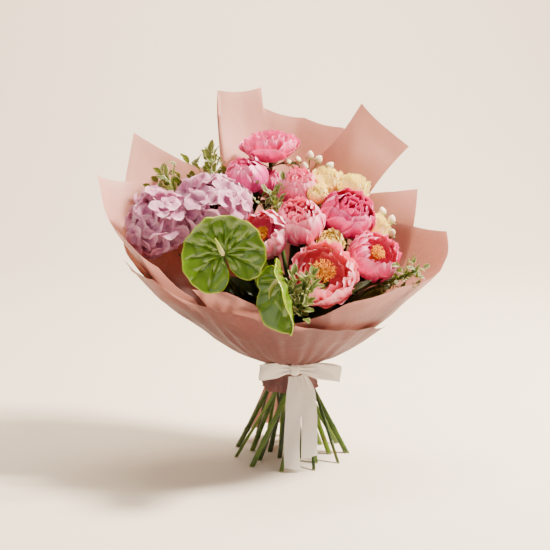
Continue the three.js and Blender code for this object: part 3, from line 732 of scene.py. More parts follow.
@dataclass(frozen=True)
class Place:
    """The tie's place in the row frame, from which every size in millimetres counts."""

    origin: Vec

    @staticmethod
    def find() -> Place:
        """Returns the place read from the binding tape's box."""
        low, high = (np.array(c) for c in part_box("binding_tape"))
        middle = (low + high) / 2
        return Place(vec(middle[0], middle[1], middle[2] - TIE_HEIGHT / 1000))

    def skin(self) -> Skin:
        """Returns an empty mesh that counts from here."""
        return Skin(self.origin)

    def metres(self, point: Vec) -> Vec:
        """Returns a point in the row frame, in metres."""
        return point * METRES + self.origin


# ---- Petals ----


@dataclass(frozen=True)
class Petal:
    """One petal, bent along an arc from its root to its tip and cupped across.

    Radii and heights are from the flower's axis and base. start is the elevation of the petal at
    its root, in degrees, and roll how far its tip turns outwards.
    """

    tip_radius: float
    tip_height: float
    root_radius: float
    root_height: float
    width: float
    start: float = 0.0
    cup: float = 1.3
    roll: float = 20.0
    ruffle: float = 1.5
    waves: float = 2.2
    notch: float = 0.06
    square: float = 0.26
    root_width: float = 0.25

    def grid(self, turn: float, seed: int, rows: int = 13, columns: int = 13) -> tuple[Vec, Vec, Vec]:
        """Shapes the petal.

        Args:
            turn: its azimuth about the flower's axis, in degrees.
            seed: the seed of its own irregularity.
            rows: points along it.
            columns: points across it.

        Returns:
            The points, and the attributes along and across.
        """
        rng = np.random.default_rng(seed)
        reach, rise = self.tip_radius - self.root_radius, self.tip_height - self.root_height
        chord, lean = math.hypot(reach, rise), math.atan2(rise, reach)
        first = math.radians(self.start)
        sweep = 2 * (lean - first)
        length = chord * (sweep / 2) / math.sin(sweep / 2) if abs(sweep) > 0.02 else chord

        fine = np.linspace(0, 1.1, 80)
        angle = first + sweep * fine - math.radians(self.roll) * smooth((fine - 0.72) / 0.3)
        step = length * (fine[1] - fine[0])
        out = self.root_radius + np.concatenate([[0], np.cumsum(np.cos(angle[:-1]) * step)])
        up = self.root_height + np.concatenate([[0], np.cumsum(np.sin(angle[:-1]) * step)])

        u = np.linspace(-1, 1, columns)[None, :]
        i = np.linspace(0, 1, rows)[:, None]
        jag = sum(
            rng.normal() * np.sin(u * k + rng.uniform(0, TURN)) for k in (3.1, 5.3, 8.9, 14.0)
        ) * self.notch * 0.15
        split = np.exp(-(((u - rng.uniform(-0.25, 0.25)) / 0.16) ** 2)) * self.notch * rng.uniform(0.3, 1.6)
        end = 1 - self.square * np.abs(u) ** 4 - split + jag
        along = i * end
        half = self.width / 2 * (
            self.root_width + (1 - self.root_width) * np.sin(np.minimum(along / 0.66, 1) * math.pi / 2)
        ) * (1 - 0.16 * smooth((along - 0.72) / 0.3))
        s = u * half
        r = np.interp(along, fine, out)
        z = np.interp(along, fine, up)
        e = np.interp(along, fine, angle)
        bend = np.maximum(self.cup * (np.abs(r) + 0.12 * self.width), self.width * 0.5)
        lateral = bend * np.sin(s / bend)
        inward = bend * (1 - np.cos(s / bend))
        margin = np.maximum(np.abs(u) ** 3, i**3)
        phases = rng.uniform(0, TURN, 3)
        wave = (
            np.sin(u * self.waves * math.pi + phases[0] + 1.5 * i)
            + 0.55 * np.sin(u * self.waves * 1.9 * math.pi + phases[1] - 2 * i)
            + 0.7 * np.sin(i * 7 + 3 * np.sign(u) + phases[2]) * np.abs(u) ** 3
        )
        inward = inward + self.ruffle * margin * wave * smooth(along / 0.5)
        inward = inward + 0.35 * np.sin(u * 9 + phases[2]) * smooth(along / 0.3) * (1 - margin)
        normal_out, normal_up = -np.sin(e), np.cos(e)
        x = r + normal_out * inward
        zz = z + normal_up * inward
        a = math.radians(turn)
        points = np.stack([x * math.cos(a) - lateral * math.sin(a),
                           x * math.sin(a) + lateral * math.cos(a), zz], -1)
        return points, along, np.broadcast_to(u, along.shape)


@dataclass(frozen=True)
class Tier:
    """A ring of like petals; its petal's sizes are shares of the head's radius and height."""

    count: int
    petal: Petal
    turn: float = 0.0
    spread: float = 0.08

    def add(self, skin: Skin, head: Head, seed: int, tier: float) -> None:
        """Adds the ring to a skin.

        Args:
            skin: the mesh that takes the petals.
            head: the flower, which gives place, axis and size.
            seed: the seed of the ring.
            tier: the ring's tier from 0 outermost to 1 innermost.
        """
        rng = np.random.default_rng(seed)
        p, r, h = self.petal, head.radius, head.height
        for k in range(self.count):
            a, b, c = rng.normal(0, self.spread, 3)
            own = Petal(p.tip_radius * r * (1 + a), p.tip_height * h * (1 + 0.6 * b),
                        p.root_radius * r, p.root_height * h, p.width * r * (1 + c), p.start + 90 * b,
                        p.cup * (1 + a), p.roll * (1 + 4 * c), p.ruffle * (1 + 3 * b), p.waves * (1 + 2 * a),
                        p.notch, p.square, p.root_width)
            turn = self.turn + 360 * (k + rng.normal(0, 0.12)) / self.count
            grid, along, across = own.grid(turn, seed * 97 + k, head.detail, head.detail)
            skin.grid(head.put(grid), along, across, float(rng.uniform()), tier)


@dataclass(frozen=True)
class Head:
    """A flower head: the middle of its box, where it faces and how big it is."""

    at: tuple[float, float, float]
    faces: tuple[float, float]
    radius: float
    height: float
    detail: int = 17
    spin: float = 0.0

    def put(self, points: Vec) -> Vec:
        """Returns points of the upright head, standing on the origin, moved to its place."""
        axis = direction(*self.faces)
        base = vec(*self.at) - axis * self.height / 2
        a = math.radians(self.spin)
        turn = np.array([[math.cos(a), -math.sin(a), 0], [math.sin(a), math.cos(a), 0], [0, 0, 1]])
        return points @ (basis(axis) @ turn).T + base


def ring(count: int, tip: tuple[float, float], width: float, turn: float = 0.0, **shape) -> Tier:
    """Returns a tier whose petals reach tip, as shares of radius and height.

    Args:
        count: how many petals.
        tip: the tip's radius and height, as shares of the head's.
        width: the petal's width, as a share of the head's radius.
        turn: the azimuth of the first petal.
        shape: the petal's other sizes.

    Returns:
        The tier.
    """
    root = shape.pop("root", (0.1, 0.02))
    spread = shape.pop("spread", 0.07)
    return Tier(count, Petal(tip[0], tip[1], root[0], root[1], width, **shape), turn, spread)


class Habit(Enum):
    """How far open a flower is: its rings of petals from the outside in."""

    SHALLOW = (
        ring(5, (1.0, 0.56), 1.6, start=-16, roll=12, ruffle=1.6, notch=0.02),
        ring(6, (0.94, 0.8), 1.4, 28, start=-24, roll=8, ruffle=2.0, notch=0.03),
        ring(6, (0.76, 0.98), 1.2, 10, start=-18, roll=14, ruffle=2.4, notch=0.03),
        ring(6, (0.54, 1.02), 1.0, 35, start=-2, roll=24, ruffle=2.8, notch=0.05),
        ring(6, (0.33, 0.98), 0.8, 5, start=25, roll=24, ruffle=2.8, notch=0.05),
        ring(5, (0.14, 0.93), 0.62, 20, start=50, roll=16, ruffle=2.4, notch=0.05),
    )
    UPRIGHT = (
        ring(5, (0.74, 0.84), 1.5, start=-12, roll=10, ruffle=1.0, notch=0.02),
        ring(5, (0.62, 1.0), 1.4, 36, start=-16, roll=8, ruffle=1.2, notch=0.02),
        ring(5, (0.46, 1.06), 1.15, 10, start=-2, roll=16, ruffle=1.6),
        ring(5, (0.26, 1.02), 0.95, 45, start=22, roll=18, ruffle=1.8),
        ring(4, (0.1, 0.96), 0.7, 20, start=50, roll=10, ruffle=1.8),
    )
    BOWL = (
        ring(5, (0.76, 0.82), 1.7, start=-12, roll=10, ruffle=1.2, notch=0.02),
        ring(5, (0.66, 0.96), 1.6, 36, start=-14, roll=14, ruffle=1.6, notch=0.02),
        ring(5, (0.54, 1.03), 1.35, 10, start=-8, roll=22, ruffle=2.2, notch=0.03),
        ring(5, (0.38, 1.06), 1.1, 45, start=10, roll=30, ruffle=2.8, notch=0.05),
        ring(5, (0.23, 1.04), 0.9, 15, start=32, roll=30, ruffle=3.0, notch=0.05),
        ring(4, (0.1, 1.0), 0.7, 45, start=58, roll=20, ruffle=3.0, notch=0.05),
    )
    CUP = (
        ring(5, (1.0, 0.74), 1.6, start=-12, roll=18, ruffle=1.6, notch=0.03),
        ring(5, (0.84, 0.96), 1.5, 36, start=-16, roll=10, ruffle=1.8, notch=0.03),
        ring(5, (0.66, 1.04), 1.25, 8, start=-12, roll=14, ruffle=2.2, notch=0.04),
        ring(5, (0.52, 0.96), 0.9, 44, start=-2, roll=18, ruffle=2.2, notch=0.05),
    )
    OPEN = (
        ring(5, (1.08, 0.58), 1.5, start=-8, roll=18, ruffle=1.8, notch=0.03),
        ring(6, (1.0, 0.84), 1.35, 30, start=-14, roll=12, ruffle=2.0, notch=0.03),
        ring(5, (0.86, 1.0), 1.25, 5, start=-16, roll=12, ruffle=2.2, notch=0.04),
        ring(5, (0.7, 1.0), 1.0, 40, start=-8, roll=16, ruffle=2.4, notch=0.05),
        ring(5, (0.56, 0.84), 0.7, 12, start=6, roll=12, ruffle=2.0, notch=0.06),
    )
    ROSE = (
        ring(5, (1.02, 0.62), 1.35, start=-4, roll=54, ruffle=1.2, notch=0.02),
        ring(5, (0.9, 0.84), 1.3, 36, start=-16, roll=46, ruffle=1.2, notch=0.02),
        ring(5, (0.72, 0.96), 1.15, 10, start=-16, roll=44, ruffle=1.2, notch=0.03),
        ring(6, (0.54, 1.0), 0.95, 50, start=-4, roll=38, ruffle=1.1, notch=0.03),
        ring(5, (0.38, 1.0), 0.8, 20, start=14, roll=28, ruffle=0.9, notch=0.03),
        ring(5, (0.22, 0.97), 0.62, 60, start=40, roll=18, ruffle=0.8, notch=0.03),
        ring(4, (0.09, 0.93), 0.45, 10, start=66, roll=8, ruffle=0.6, notch=0.03),
    )

    def add(self, skin: Skin, head: Head, seed: int) -> None:
        """Adds every ring to a skin, with seeds that count from seed."""
        for k, tier in enumerate(self.value):
            tier.add(skin, head, seed + k, k / (len(self.value) - 1))


# ---- Stems ----


@dataclass
class Stem:
    """A stem from its foot on the table, through the tie, to what it carries."""

    name: str
    radius: float
    end: Vec
    axis: Vec
    path: Path | None = None


@dataclass(frozen=True)
class TieRing:
    """A ring of places where stems pass the tie."""

    places: int
    radius: float
    reach: float
    turn: float

    def line(self, index: int) -> tuple[float, Vec, Vec]:
        """Returns a place's azimuth, its point at the tie and its rise per millimetre of height."""
        azimuth = self.turn + 360 / self.places * index
        slope = math.sqrt(self.reach**2 - self.radius**2) / TIE_HEIGHT
        a = math.radians(azimuth)
        through = vec(math.cos(a) * self.radius, math.sin(a) * self.radius, TIE_HEIGHT)
        return azimuth, through, vec(-math.sin(a) * slope, math.cos(a) * slope, 1)


def leaf_grid(root: Vec, tip: Vec, width: float, face: Vec, seed: int, arch: float = 0.14,
              fold: float = 0.18, wavy: float = 0.04, rows: int = 13, columns: int = 7,
              blunt: float = 1.0) -> tuple[Vec, Vec, Vec]:
    """Shapes a leaf from root to tip.

    Args:
        root: where it starts.
        tip: where it ends.
        width: its greatest width.
        face: about where its upper face looks.
        seed: the seed of its waves.
        arch: how high it arches, as a share of its length.
        fold: how high its halves lift, as a share of its width.
        wavy: the height of its margin's waves, as a share of its length.
        rows: points along it.
        columns: points across it.
        blunt: under 1 rounds its tip.

    Returns:
        The points, and the attributes along and across.
    """
    rng = np.random.default_rng(seed)
    run = tip - root
    length = float(np.linalg.norm(run))
    forward = run / length
    side = unit(np.cross(forward, face))
    lift = np.cross(side, forward)
    t = np.linspace(0, 1, rows)[:, None]
    u = np.linspace(-1, 1, columns)[None, :]
    half = width / 2 * (0.06 + np.sin(math.pi * t**0.82) ** (0.85 * blunt)) * (1 - 0.06 * t)
    half = np.where(t > 0.99, width * 0.02, half)
    p1, p2 = rng.uniform(0, TURN, 2)
    wave = np.sin(9 * t + p1 + 2.2 * np.sign(u)) + 0.5 * np.sin(17 * t + p2)
    wave = wavy * length * np.abs(u) ** 2 * wave
    height = arch * length * np.sin(math.pi * t) + fold * half * np.abs(u) * 1.6 + wave * np.sin(math.pi * t)
    sway = 0.05 * length * np.sin(2.6 * t + p1) * t
    points = (root + forward * (length * t)[..., None] + side * (u * half + sway)[..., None]
              + lift * height[..., None])
    shape = np.broadcast_shapes(t.shape, u.shape)
    return points, np.broadcast_to(t, shape), np.broadcast_to(u, shape)


class Bundle:
    """All the stems, shared out among the places at the tie."""

    RINGS = (TieRing(11, 29.5, 92, 4), TieRing(8, 19.5, 64, 20), TieRing(6, 9.8, 34, 10))
    TWIST = 70.0
    SIDES = 12

    def __init__(self) -> None:
        """Starts with no stems."""
        self.stems: list[Stem] = []

    def add(self, name: str, radius: float, end: Vec, axis: Vec) -> Stem:
        """Adds a stem to end along axis and returns it."""
        stem = Stem(name, radius, end, unit(axis))
        self.stems.append(stem)
        return stem

    def head(self, name: str, radius: float, head: Head) -> Stem:
        """Adds the stem that ends in a head's base and returns it."""
        axis = direction(*head.faces)
        return self.add(name, radius, vec(*head.at) - axis * (head.height / 2 + 0.4), axis)

    def share(self) -> None:
        """Gives every stem its place at the tie and its path."""
        queue = sorted(self.stems, key=lambda s: -math.hypot(*s.end[:2]) / (s.end[2] - TIE_HEIGHT))
        for tie in self.RINGS:
            part, queue = queue[: tie.places], queue[tie.places :]
            part.sort(key=lambda s: math.atan2(s.end[1], s.end[0]))

            def cost(shift: int) -> float:
                total = 0.0
                for k, stem in enumerate(part):
                    wanted = math.degrees(math.atan2(stem.end[1], stem.end[0])) - self.TWIST
                    total += ((tie.line(k + shift)[0] - wanted + 900) % 360 - 180) ** 2
                return total

            best = min(range(tie.places), key=cost)
            for k, stem in enumerate(part):
                _, through, rise = tie.line(k + best)
                foot = through - rise * TIE_HEIGHT
                span = float(np.linalg.norm(stem.end - through))
                curve = bezier([through, through + unit(rise) * span * 0.42,
                                stem.end - stem.axis * span * 0.3, stem.end], 40)
                line = foot + (through - foot) * np.linspace(0, 1, 24, endpoint=False)[:, None]
                stem.path = Path(np.concatenate([line, curve]))

    def build(self, place: Place, stem: Stem, seed: int, knots: int = 5) -> bpy.types.Object:
        """Makes one stem with its swollen nodes.

        Args:
            place: the tie's place.
            stem: the stem.
            seed: the seed of its irregularity.
            knots: how many nodes it has.

        Returns:
            The stem's object.
        """
        rng = np.random.default_rng(seed)
        skin = place.skin()
        t = np.linspace(0, 1, 72)
        line = stem.path.at(t)
        wobble = Ripple(seed, 90)(line)[:, None] * smooth(t * 6)[:, None] * 0.5
        line = line + wobble * vec(0.7, 0.7, 0)
        radius = stem.radius * (1.06 - 0.2 * t)
        spots = np.sort((np.arange(knots) + rng.uniform(0.2, 0.8, knots)) / knots) * 0.9 + 0.03
        draw = float(rng.uniform())
        for spot in spots:
            radius = radius + stem.radius * 0.22 * np.exp(-(((t - spot) * stem.path.length / 4.5) ** 2))
        skin.tube(line, radius, self.SIDES, draw, flat_foot=0.0)
        return skin.build(f"{stem.name}_skin", STEM, "green_stem", stem.name)


# ---- Flowers ----


def stamens(skin: Skin, head: Head, spread: float, low: float, high: float, count: int,
            seed: int) -> None:
    """Adds a cluster of stamens: thin filaments, each with a long anther.

    Args:
        skin: the mesh that takes them.
        head: the flower.
        spread: the radius of the cluster's top, in millimetres.
        low: the height that they start at.
        high: the height of the tallest.
        count: how many there are.
        seed: the seed of their places.
    """
    rng = np.random.default_rng(seed)
    for k in range(count):
        share = math.sqrt((k + 0.6) / count)
        a = k * GOLDEN + rng.normal(0, 0.15)
        r = spread * share * rng.uniform(0.9, 1.06)
        tip = vec(r * math.cos(a), r * math.sin(a), high - 0.14 * r * share + rng.normal(0, 1.4))
        foot = vec(0.35 * r * math.cos(a), 0.35 * r * math.sin(a), low)
        middle = (foot + tip) / 2 + spoke(a) * rng.uniform(0.5, 2.5)
        line = head.put(bezier([foot, middle, tip], 4))
        skin.tube(line, 0.28, 3, float(rng.uniform()), 0.0)
        aim = unit(vec(math.cos(a) * share, math.sin(a) * share, 1.1) + rng.normal(0, 0.3, 3))
        size = rng.uniform(1.9, 2.7)
        anther = head.put(tip + np.outer(np.linspace(-0.3, 1.2, 5), aim) * size)
        skin.tube(anther, np.array([0.3, 0.85, 0.9, 0.8, 0.25]), 5, float(rng.uniform()), 1.0)


@dataclass(frozen=True)
class Peony:
    """A peony: its rings of petals, its heart and the green calyx under it."""

    number: int
    head: Head
    habit: Habit
    finish: Petals
    heart: float = 0.0
    slot: str = "peony_petal_coral"

    def build(self, place: Place) -> None:
        """Makes the flower."""
        skin = place.skin()
        self.habit.add(skin, self.head, self.number * 31)
        skin.build(f"peony_{self.number}_petals", self.finish.value, self.slot, f"peony_{self.number}_head")
        if self.heart:
            heart = place.skin()
            h = self.head.height
            stamens(heart, self.head, self.heart, 0.4 * h, 0.84 * h, int(40 + 9 * self.heart), self.number)
            heart.build(f"peony_{self.number}_stamens", ANTHER, self.slot)
        self.calyx(place)

    def calyx(self, place: Place) -> None:
        """Makes the five sepals and the round base under the flower."""
        skin = place.skin()
        rng = np.random.default_rng(self.number)
        r = self.head.radius
        for k in range(5):
            a = 2 * math.pi * (k + rng.uniform(-0.2, 0.2)) / 5
            out = spoke(a)
            root, tip = out * 2.5 + vec(0, 0, -1.5), out * r * 0.62 + vec(0, 0, 0.14 * r)
            points, along, across = leaf_grid(root, tip, 0.42 * r, vec(0, 0, -1) + out * 0.5, k, 0.22, -0.2)
            skin.grid(self.head.put(points), along, across, float(rng.uniform()))
        base = self.head.put(np.array([[0, 0, z] for z in np.linspace(-3, 5, 6)]))
        skin.tube(base, np.array([3.6, 4.6, 5.6, 6.2, 5.6, 3.0]), 12, 0.4)
        skin.build(f"peony_{self.number}_calyx", CALYX, "green_stem")


@dataclass(frozen=True)
class Rose:
    """A cut rose with its green calyx."""

    number: int
    head: Head

    def build(self, place: Place) -> None:
        """Makes the flower."""
        skin, green = place.skin(), place.skin()
        Habit.ROSE.add(skin, self.head, 400 + self.number * 31)
        skin.build(f"rose_{self.number}_petals", Petals.ROSE.value, "rose_petal", f"rose_{self.number}_head")
        r = self.head.radius
        for k in range(5):
            a = 2 * math.pi * k / 5 + 0.3
            out = spoke(a)
            points, along, across = leaf_grid(out * 2, out * r * 0.8 + vec(0, 0, -0.35 * r), 0.26 * r,
                                              vec(0, 0, -1), k, 0.2, -0.2)
            green.grid(self.head.put(points), along, across, k / 5)
        base = self.head.put(np.array([[0, 0, z] for z in np.linspace(-4, 3, 6)]))
        green.tube(base, np.array([2.6, 3.6, 4.2, 4.0, 3.2, 1.6]), 10, 0.5)
        green.build(f"rose_{self.number}_calyx", CALYX, "green_stem")


@dataclass(frozen=True)
class Hydrangea:
    """A mophead: florets of four sepals all over a ball."""

    number: int
    head: Head
    florets: int = 84
    sepal: float = 19.0

    def build(self, place: Place) -> None:
        """Makes the florets, their beads and the stalks that hold them."""
        rng = np.random.default_rng(700 + self.number)
        skin, green = place.skin(), place.skin()
        r, h = self.head.radius, self.head.height
        core = vec(0, 0, h * 0.36)
        for k in range(self.florets):
            z = 1 - 1.5 * (k + 0.5) / self.florets
            a = k * GOLDEN
            ball = vec(math.cos(a) * math.sqrt(1 - z * z), math.sin(a) * math.sqrt(1 - z * z), z)
            sink = rng.uniform(-9.0, 0.5)
            at = vec(ball[0] * (r + sink), ball[1] * (r + sink), (ball[2] + 1) / 2 * (h + sink) + 0.5 * sink)
            axis = unit(ball * vec(1 / r, 1 / r, 2 / h) * r + rng.normal(0, 0.33, 3))
            frame_of = basis(axis)
            twist = rng.uniform(0, TURN)
            size = self.sepal * rng.uniform(0.86, 1.12)
            draw = float(rng.uniform())
            for q in range(4):
                turn = twist + q * math.pi / 2 + rng.normal(0, 0.07)
                out = spoke(turn)
                lift = 0.12 if q % 2 else 0.3
                tip = out * size + vec(0, 0, lift * size * rng.uniform(0.5, 1.2))
                points, along, across = leaf_grid(out * 0.8 + vec(0, 0, 0.5 * lift), tip, size * 1.22,
                                                  vec(0, 0, 1), k * 4 + q, 0.13, 0.13, 0.06, 9, 9, 0.5)
                skin.grid(self.head.put(points @ frame_of.T + at), along, across, (draw + 0.1 * q) % 1)
            bead = self.head.put(at + np.outer(np.linspace(-0.2, 1.6, 5), axis))
            skin.tube(bead, np.array([0.5, 1.2, 1.4, 1.1, 0.3]), 6, draw, 1.0)
            stalk = bezier([vec(0, 0, 4), core * 0.7, at * vec(0.6, 0.6, 0.8), at], 5)
            green.tube(self.head.put(stalk), np.linspace(1.0, 0.5, 6), 4, draw)
        skin.build(f"hydrangea_{self.number}_sepals", Petals.HYDRANGEA.value, "hydrangea_petal",
                   f"hydrangea_{self.number}_head")
        green.build(f"hydrangea_{self.number}_stalks", CALYX, "green_stem")


@dataclass(frozen=True)
class Anthurium:
    """An anthurium: a heart-shaped waxy spathe and the knobbled spadix on it."""

    number: int
    at: tuple[float, float, float]
    tip: tuple[float, float, float]
    faces: tuple[float, float]
    width: float
    fold: float
    veins: tuple[float, ...] = (0, 24, 50, 78, 108, 138)

    LOBES = ((0, 1), (90, 1), (118, 1.03), (142, 1.0), (158, 0.88), (169, 0.66), (177, 0.36))

    def turned(self) -> Vec:
        """Returns the spathe's 3 x 3 turn, whose columns are across, along and facing."""
        along = unit(vec(*self.tip) - vec(*self.at))
        facing = direction(*self.faces)
        facing = unit(facing - along * (facing @ along))
        return np.stack([np.cross(along, facing), along, facing], 1)

    def stem_end(self) -> tuple[Vec, Vec]:
        """Returns where the stem ends and its direction there."""
        facing = self.turned()[:, 2]
        return vec(*self.at) - facing * 5, unit(facing + vec(0, 0, 1.2))

    def build(self, place: Place) -> None:
        """Makes the spathe with its sunken veins, and the spadix."""
        turn = self.turned()
        reach_tip = float(np.linalg.norm(vec(*self.tip) - vec(*self.at)))
        half = self.width / 2
        rho = np.linspace(0.02, 1, 44)[:, None]
        theta = np.linspace(-177, 177, 181)[None, :]
        size = np.abs(theta)
        towards = np.maximum(np.cos(np.radians(size)), 0) ** 1.6
        lobes = read_off(self.LOBES, size)
        outline = half * lobes * (reach_tip / half) ** towards + 0.05 * reach_tip * np.exp(-((size / 7) ** 2))
        uneven = 1 + 0.012 * np.sin(np.radians(theta * 9)) + 0.01 * np.sin(np.radians(theta * 17))
        outline = outline * uneven
        reach = rho * outline
        curve = np.radians(theta * (1 - 0.1 * (1 - rho)))
        x, y = -reach * np.sin(curve), reach * np.cos(curve)
        rim = rho**10
        quilt = np.abs(np.sin(reach / 7.5 + 1.2 * np.sin(np.radians(theta * 7)))) * smooth(reach / 16)
        pucker = 2.4 * quilt * (1 - rim)
        for vein in self.veins:
            off = np.radians(size - vein) * reach
            pucker = pucker - 3.2 * np.exp(-((off / 2.6) ** 2)) * smooth(reach / 8) * (1 - rim)
        wave = 2.0 * np.sin(np.radians(theta * 5)) * rho**3 + 1.4 * Ripple(self.number, 46)(
            np.stack([x, y, 0 * x], -1))
        curl = 9 * smooth((y / reach_tip - 0.8) / 0.3) ** 2
        lift = self.fold * x**2 / half + 5 * rho**5 + 0.03 * reach_tip + curl
        lift = lift - 3.5 * rho**2 * smooth((size - 90) / 60)
        points = np.stack([x, y, lift + pucker + wave], -1) @ turn.T + vec(*self.at)
        skin = place.skin()
        skin.grid(points, rho, 0.86 * rho + 0.14 * rho**12, 0.5)
        spathe = skin.build(f"anthurium_{self.number}_blade", SPATHE, "anthurium_spathe",
                            f"anthurium_{self.number}_spathe")
        thick = spathe.modifiers.new("thickness", "SOLIDIFY")
        thick.thickness, thick.offset = 0.0013, 0.0
        self.spadix(place, turn[:, 1], turn[:, 2])

    def spadix(self, place: Place, along: Vec, facing: Vec) -> None:
        """Makes the spadix, standing on the notch.

        Args:
            place: the tie's place.
            along: the way that the spathe runs.
            facing: the way that it faces.
        """
        start = vec(*self.at) + facing * 3
        line = bezier([start, start + facing * 18 + along * 5, start + along * 26 + facing * 26], 72)
        skin = place.skin()
        t = np.linspace(0, 1, 73)
        radius = 3.3 * np.sqrt(np.clip(1 - ((t - 0.3) / 0.71) ** 2, 0.02, 1))
        rows = np.arange(73)[:, None]
        knob = 0.3 * np.cos(rows * 2.1) * np.cos(np.arange(24)[None, :] * math.pi / 2 + rows * 0.5)
        skin.tube(line, radius[:, None] + knob, 24, 0.5)
        skin.build(f"anthurium_{self.number}_core", SPADIX, "anthurium_spadix",
                   f"anthurium_{self.number}_spadix")


@dataclass(frozen=True)
class Hypericum:
    """A spray of berries, each on its twig with five small sepals."""

    number: int
    fork: tuple[float, float, float]
    berries: tuple[tuple[float, float, float], ...]
    radius: float = 6.6

    def build(self, place: Place) -> None:
        """Makes the twigs, sepals and berries."""
        skin, green = place.skin(), place.skin()
        fork = vec(*self.fork)
        for k, spot in enumerate(self.berries):
            rng = np.random.default_rng(900 + 10 * self.number + k)
            berry = vec(*spot)
            axis = unit(unit(berry - fork) + rng.normal(0, 0.15, 3))
            base = berry - axis * self.radius
            green.tube(bezier([fork, (fork + base) / 2 - vec(0, 0, 4), base], 10),
                       np.linspace(1.4, 1.0, 11), 7, float(rng.uniform()))
            t = np.linspace(0, 1, 14)
            size = self.radius * rng.uniform(0.92, 1.08)
            body = size * np.sin(math.pi * np.clip(t, 0.03, 1) ** 0.85) ** 0.62 * (1 - 0.12 * t)
            body[-1] = 0.25
            skin.tube(base + np.outer(t, axis) * size * 2.3, body, 14, float(rng.uniform()))
            turn = basis(axis)
            for q in range(5):
                a = 2 * math.pi * q / 5 + k
                out = spoke(a)
                points, along, across = leaf_grid(out * 0.8, out * size * 1.25 + vec(0, 0, 1.5), size * 0.85,
                                                  vec(0, 0, 1), q, 0.16, 0.2, 0.03, 7, 5)
                green.grid(points @ turn.T + base, along, across, float(rng.uniform()))
        skin.build(f"hypericum_{self.number}_berries", BERRY, "hypericum_berry")
        green.build(f"hypericum_{self.number}_sepals", CALYX, "green_stem")


@dataclass(frozen=True)
class Pittosporum:
    """A sprig of small wavy leaves with pale margins."""

    number: int
    at: tuple[float, float, float]
    faces: tuple[float, float]
    leaves: int
    leaf: float
    droop: float

    def build(self, place: Place, stem: Stem) -> None:
        """Makes the leaves along the end of the stem.

        Args:
            place: the tie's place.
            stem: the sprig's own stem.
        """
        rng = np.random.default_rng(1100 + self.number)
        skin = place.skin()
        count = int(self.leaves * 6)
        for n in range(count):
            share = 1 - 0.17 * (1 - n / count)
            root, axis = stem.path.at(share), stem.path.tangent(share)
            if n % 3:
                out = rotate(unit(np.cross(axis, vec(0.2, 1, 0.3)))[None], axis, 2.1 * (n // 3))[0]
                root = root + out * self.leaf * rng.uniform(0.2, 1.5)
                root = root + axis * self.leaf * rng.uniform(-0.2, 0.5)
            side = unit(np.cross(axis, vec(0.3, 0.2, 1)))
            side = rotate(side[None], axis, GOLDEN * n + rng.normal(0, 0.25))[0]
            reach = unit(side + axis * (1.15 - self.droop + 0.6 * n / count))
            reach = reach * self.leaf * rng.uniform(0.72, 1.1)
            petiole = root + reach * 0.12
            skin.grid(*leaf_grid(petiole, root + reach * 1.04, self.leaf * 0.46, axis,
                                              n, 0.06, 0.22, 0.05, 11, 7, 0.8),
                      float(rng.uniform()))
            skin.tube(bezier([root, root + reach * 0.08, petiole + reach * 0.06], 3), 0.5, 4, 0.5)
        skin.build(f"pittosporum_{self.number}_leaves", SPRIG_LEAF, "pittosporum_leaf")


@dataclass(frozen=True)
class StemLeaf:
    """A leaf left on a peony stem: which stem, how far along it, its tip and its width."""

    peony: int
    along: float
    tip: tuple[float, float, float]
    width: float

    def add(self, skin: Skin, stem: Stem) -> None:
        """Adds the leaf and its two side lobes to a skin."""
        root, tip = stem.path.at(self.along), vec(*self.tip)
        face = unit(vec(0, 0, 1) + 0.2 * stem.path.tangent(self.along))
        run = tip - root
        for k, (swing, share) in enumerate(((0, 1.0), (0.42, 0.7), (-0.42, 0.7))):
            end = root + rotate(run[None], face, swing)[0] * share
            skin.grid(*leaf_grid(root, end, self.width * (0.72 if k == 0 else 0.5), face,
                                              self.peony * 7 + k, 0.12, 0.2, 0.02, 15, 9),
                      0.2 + 0.3 * k)


# ---- Paper ----


def read_off(table: Pairs, at) -> Vec:
    """Returns the values that a table of (place, value) pairs has at these places."""
    return np.interp(at, [p for p, _ in table], [v for _, v in table])


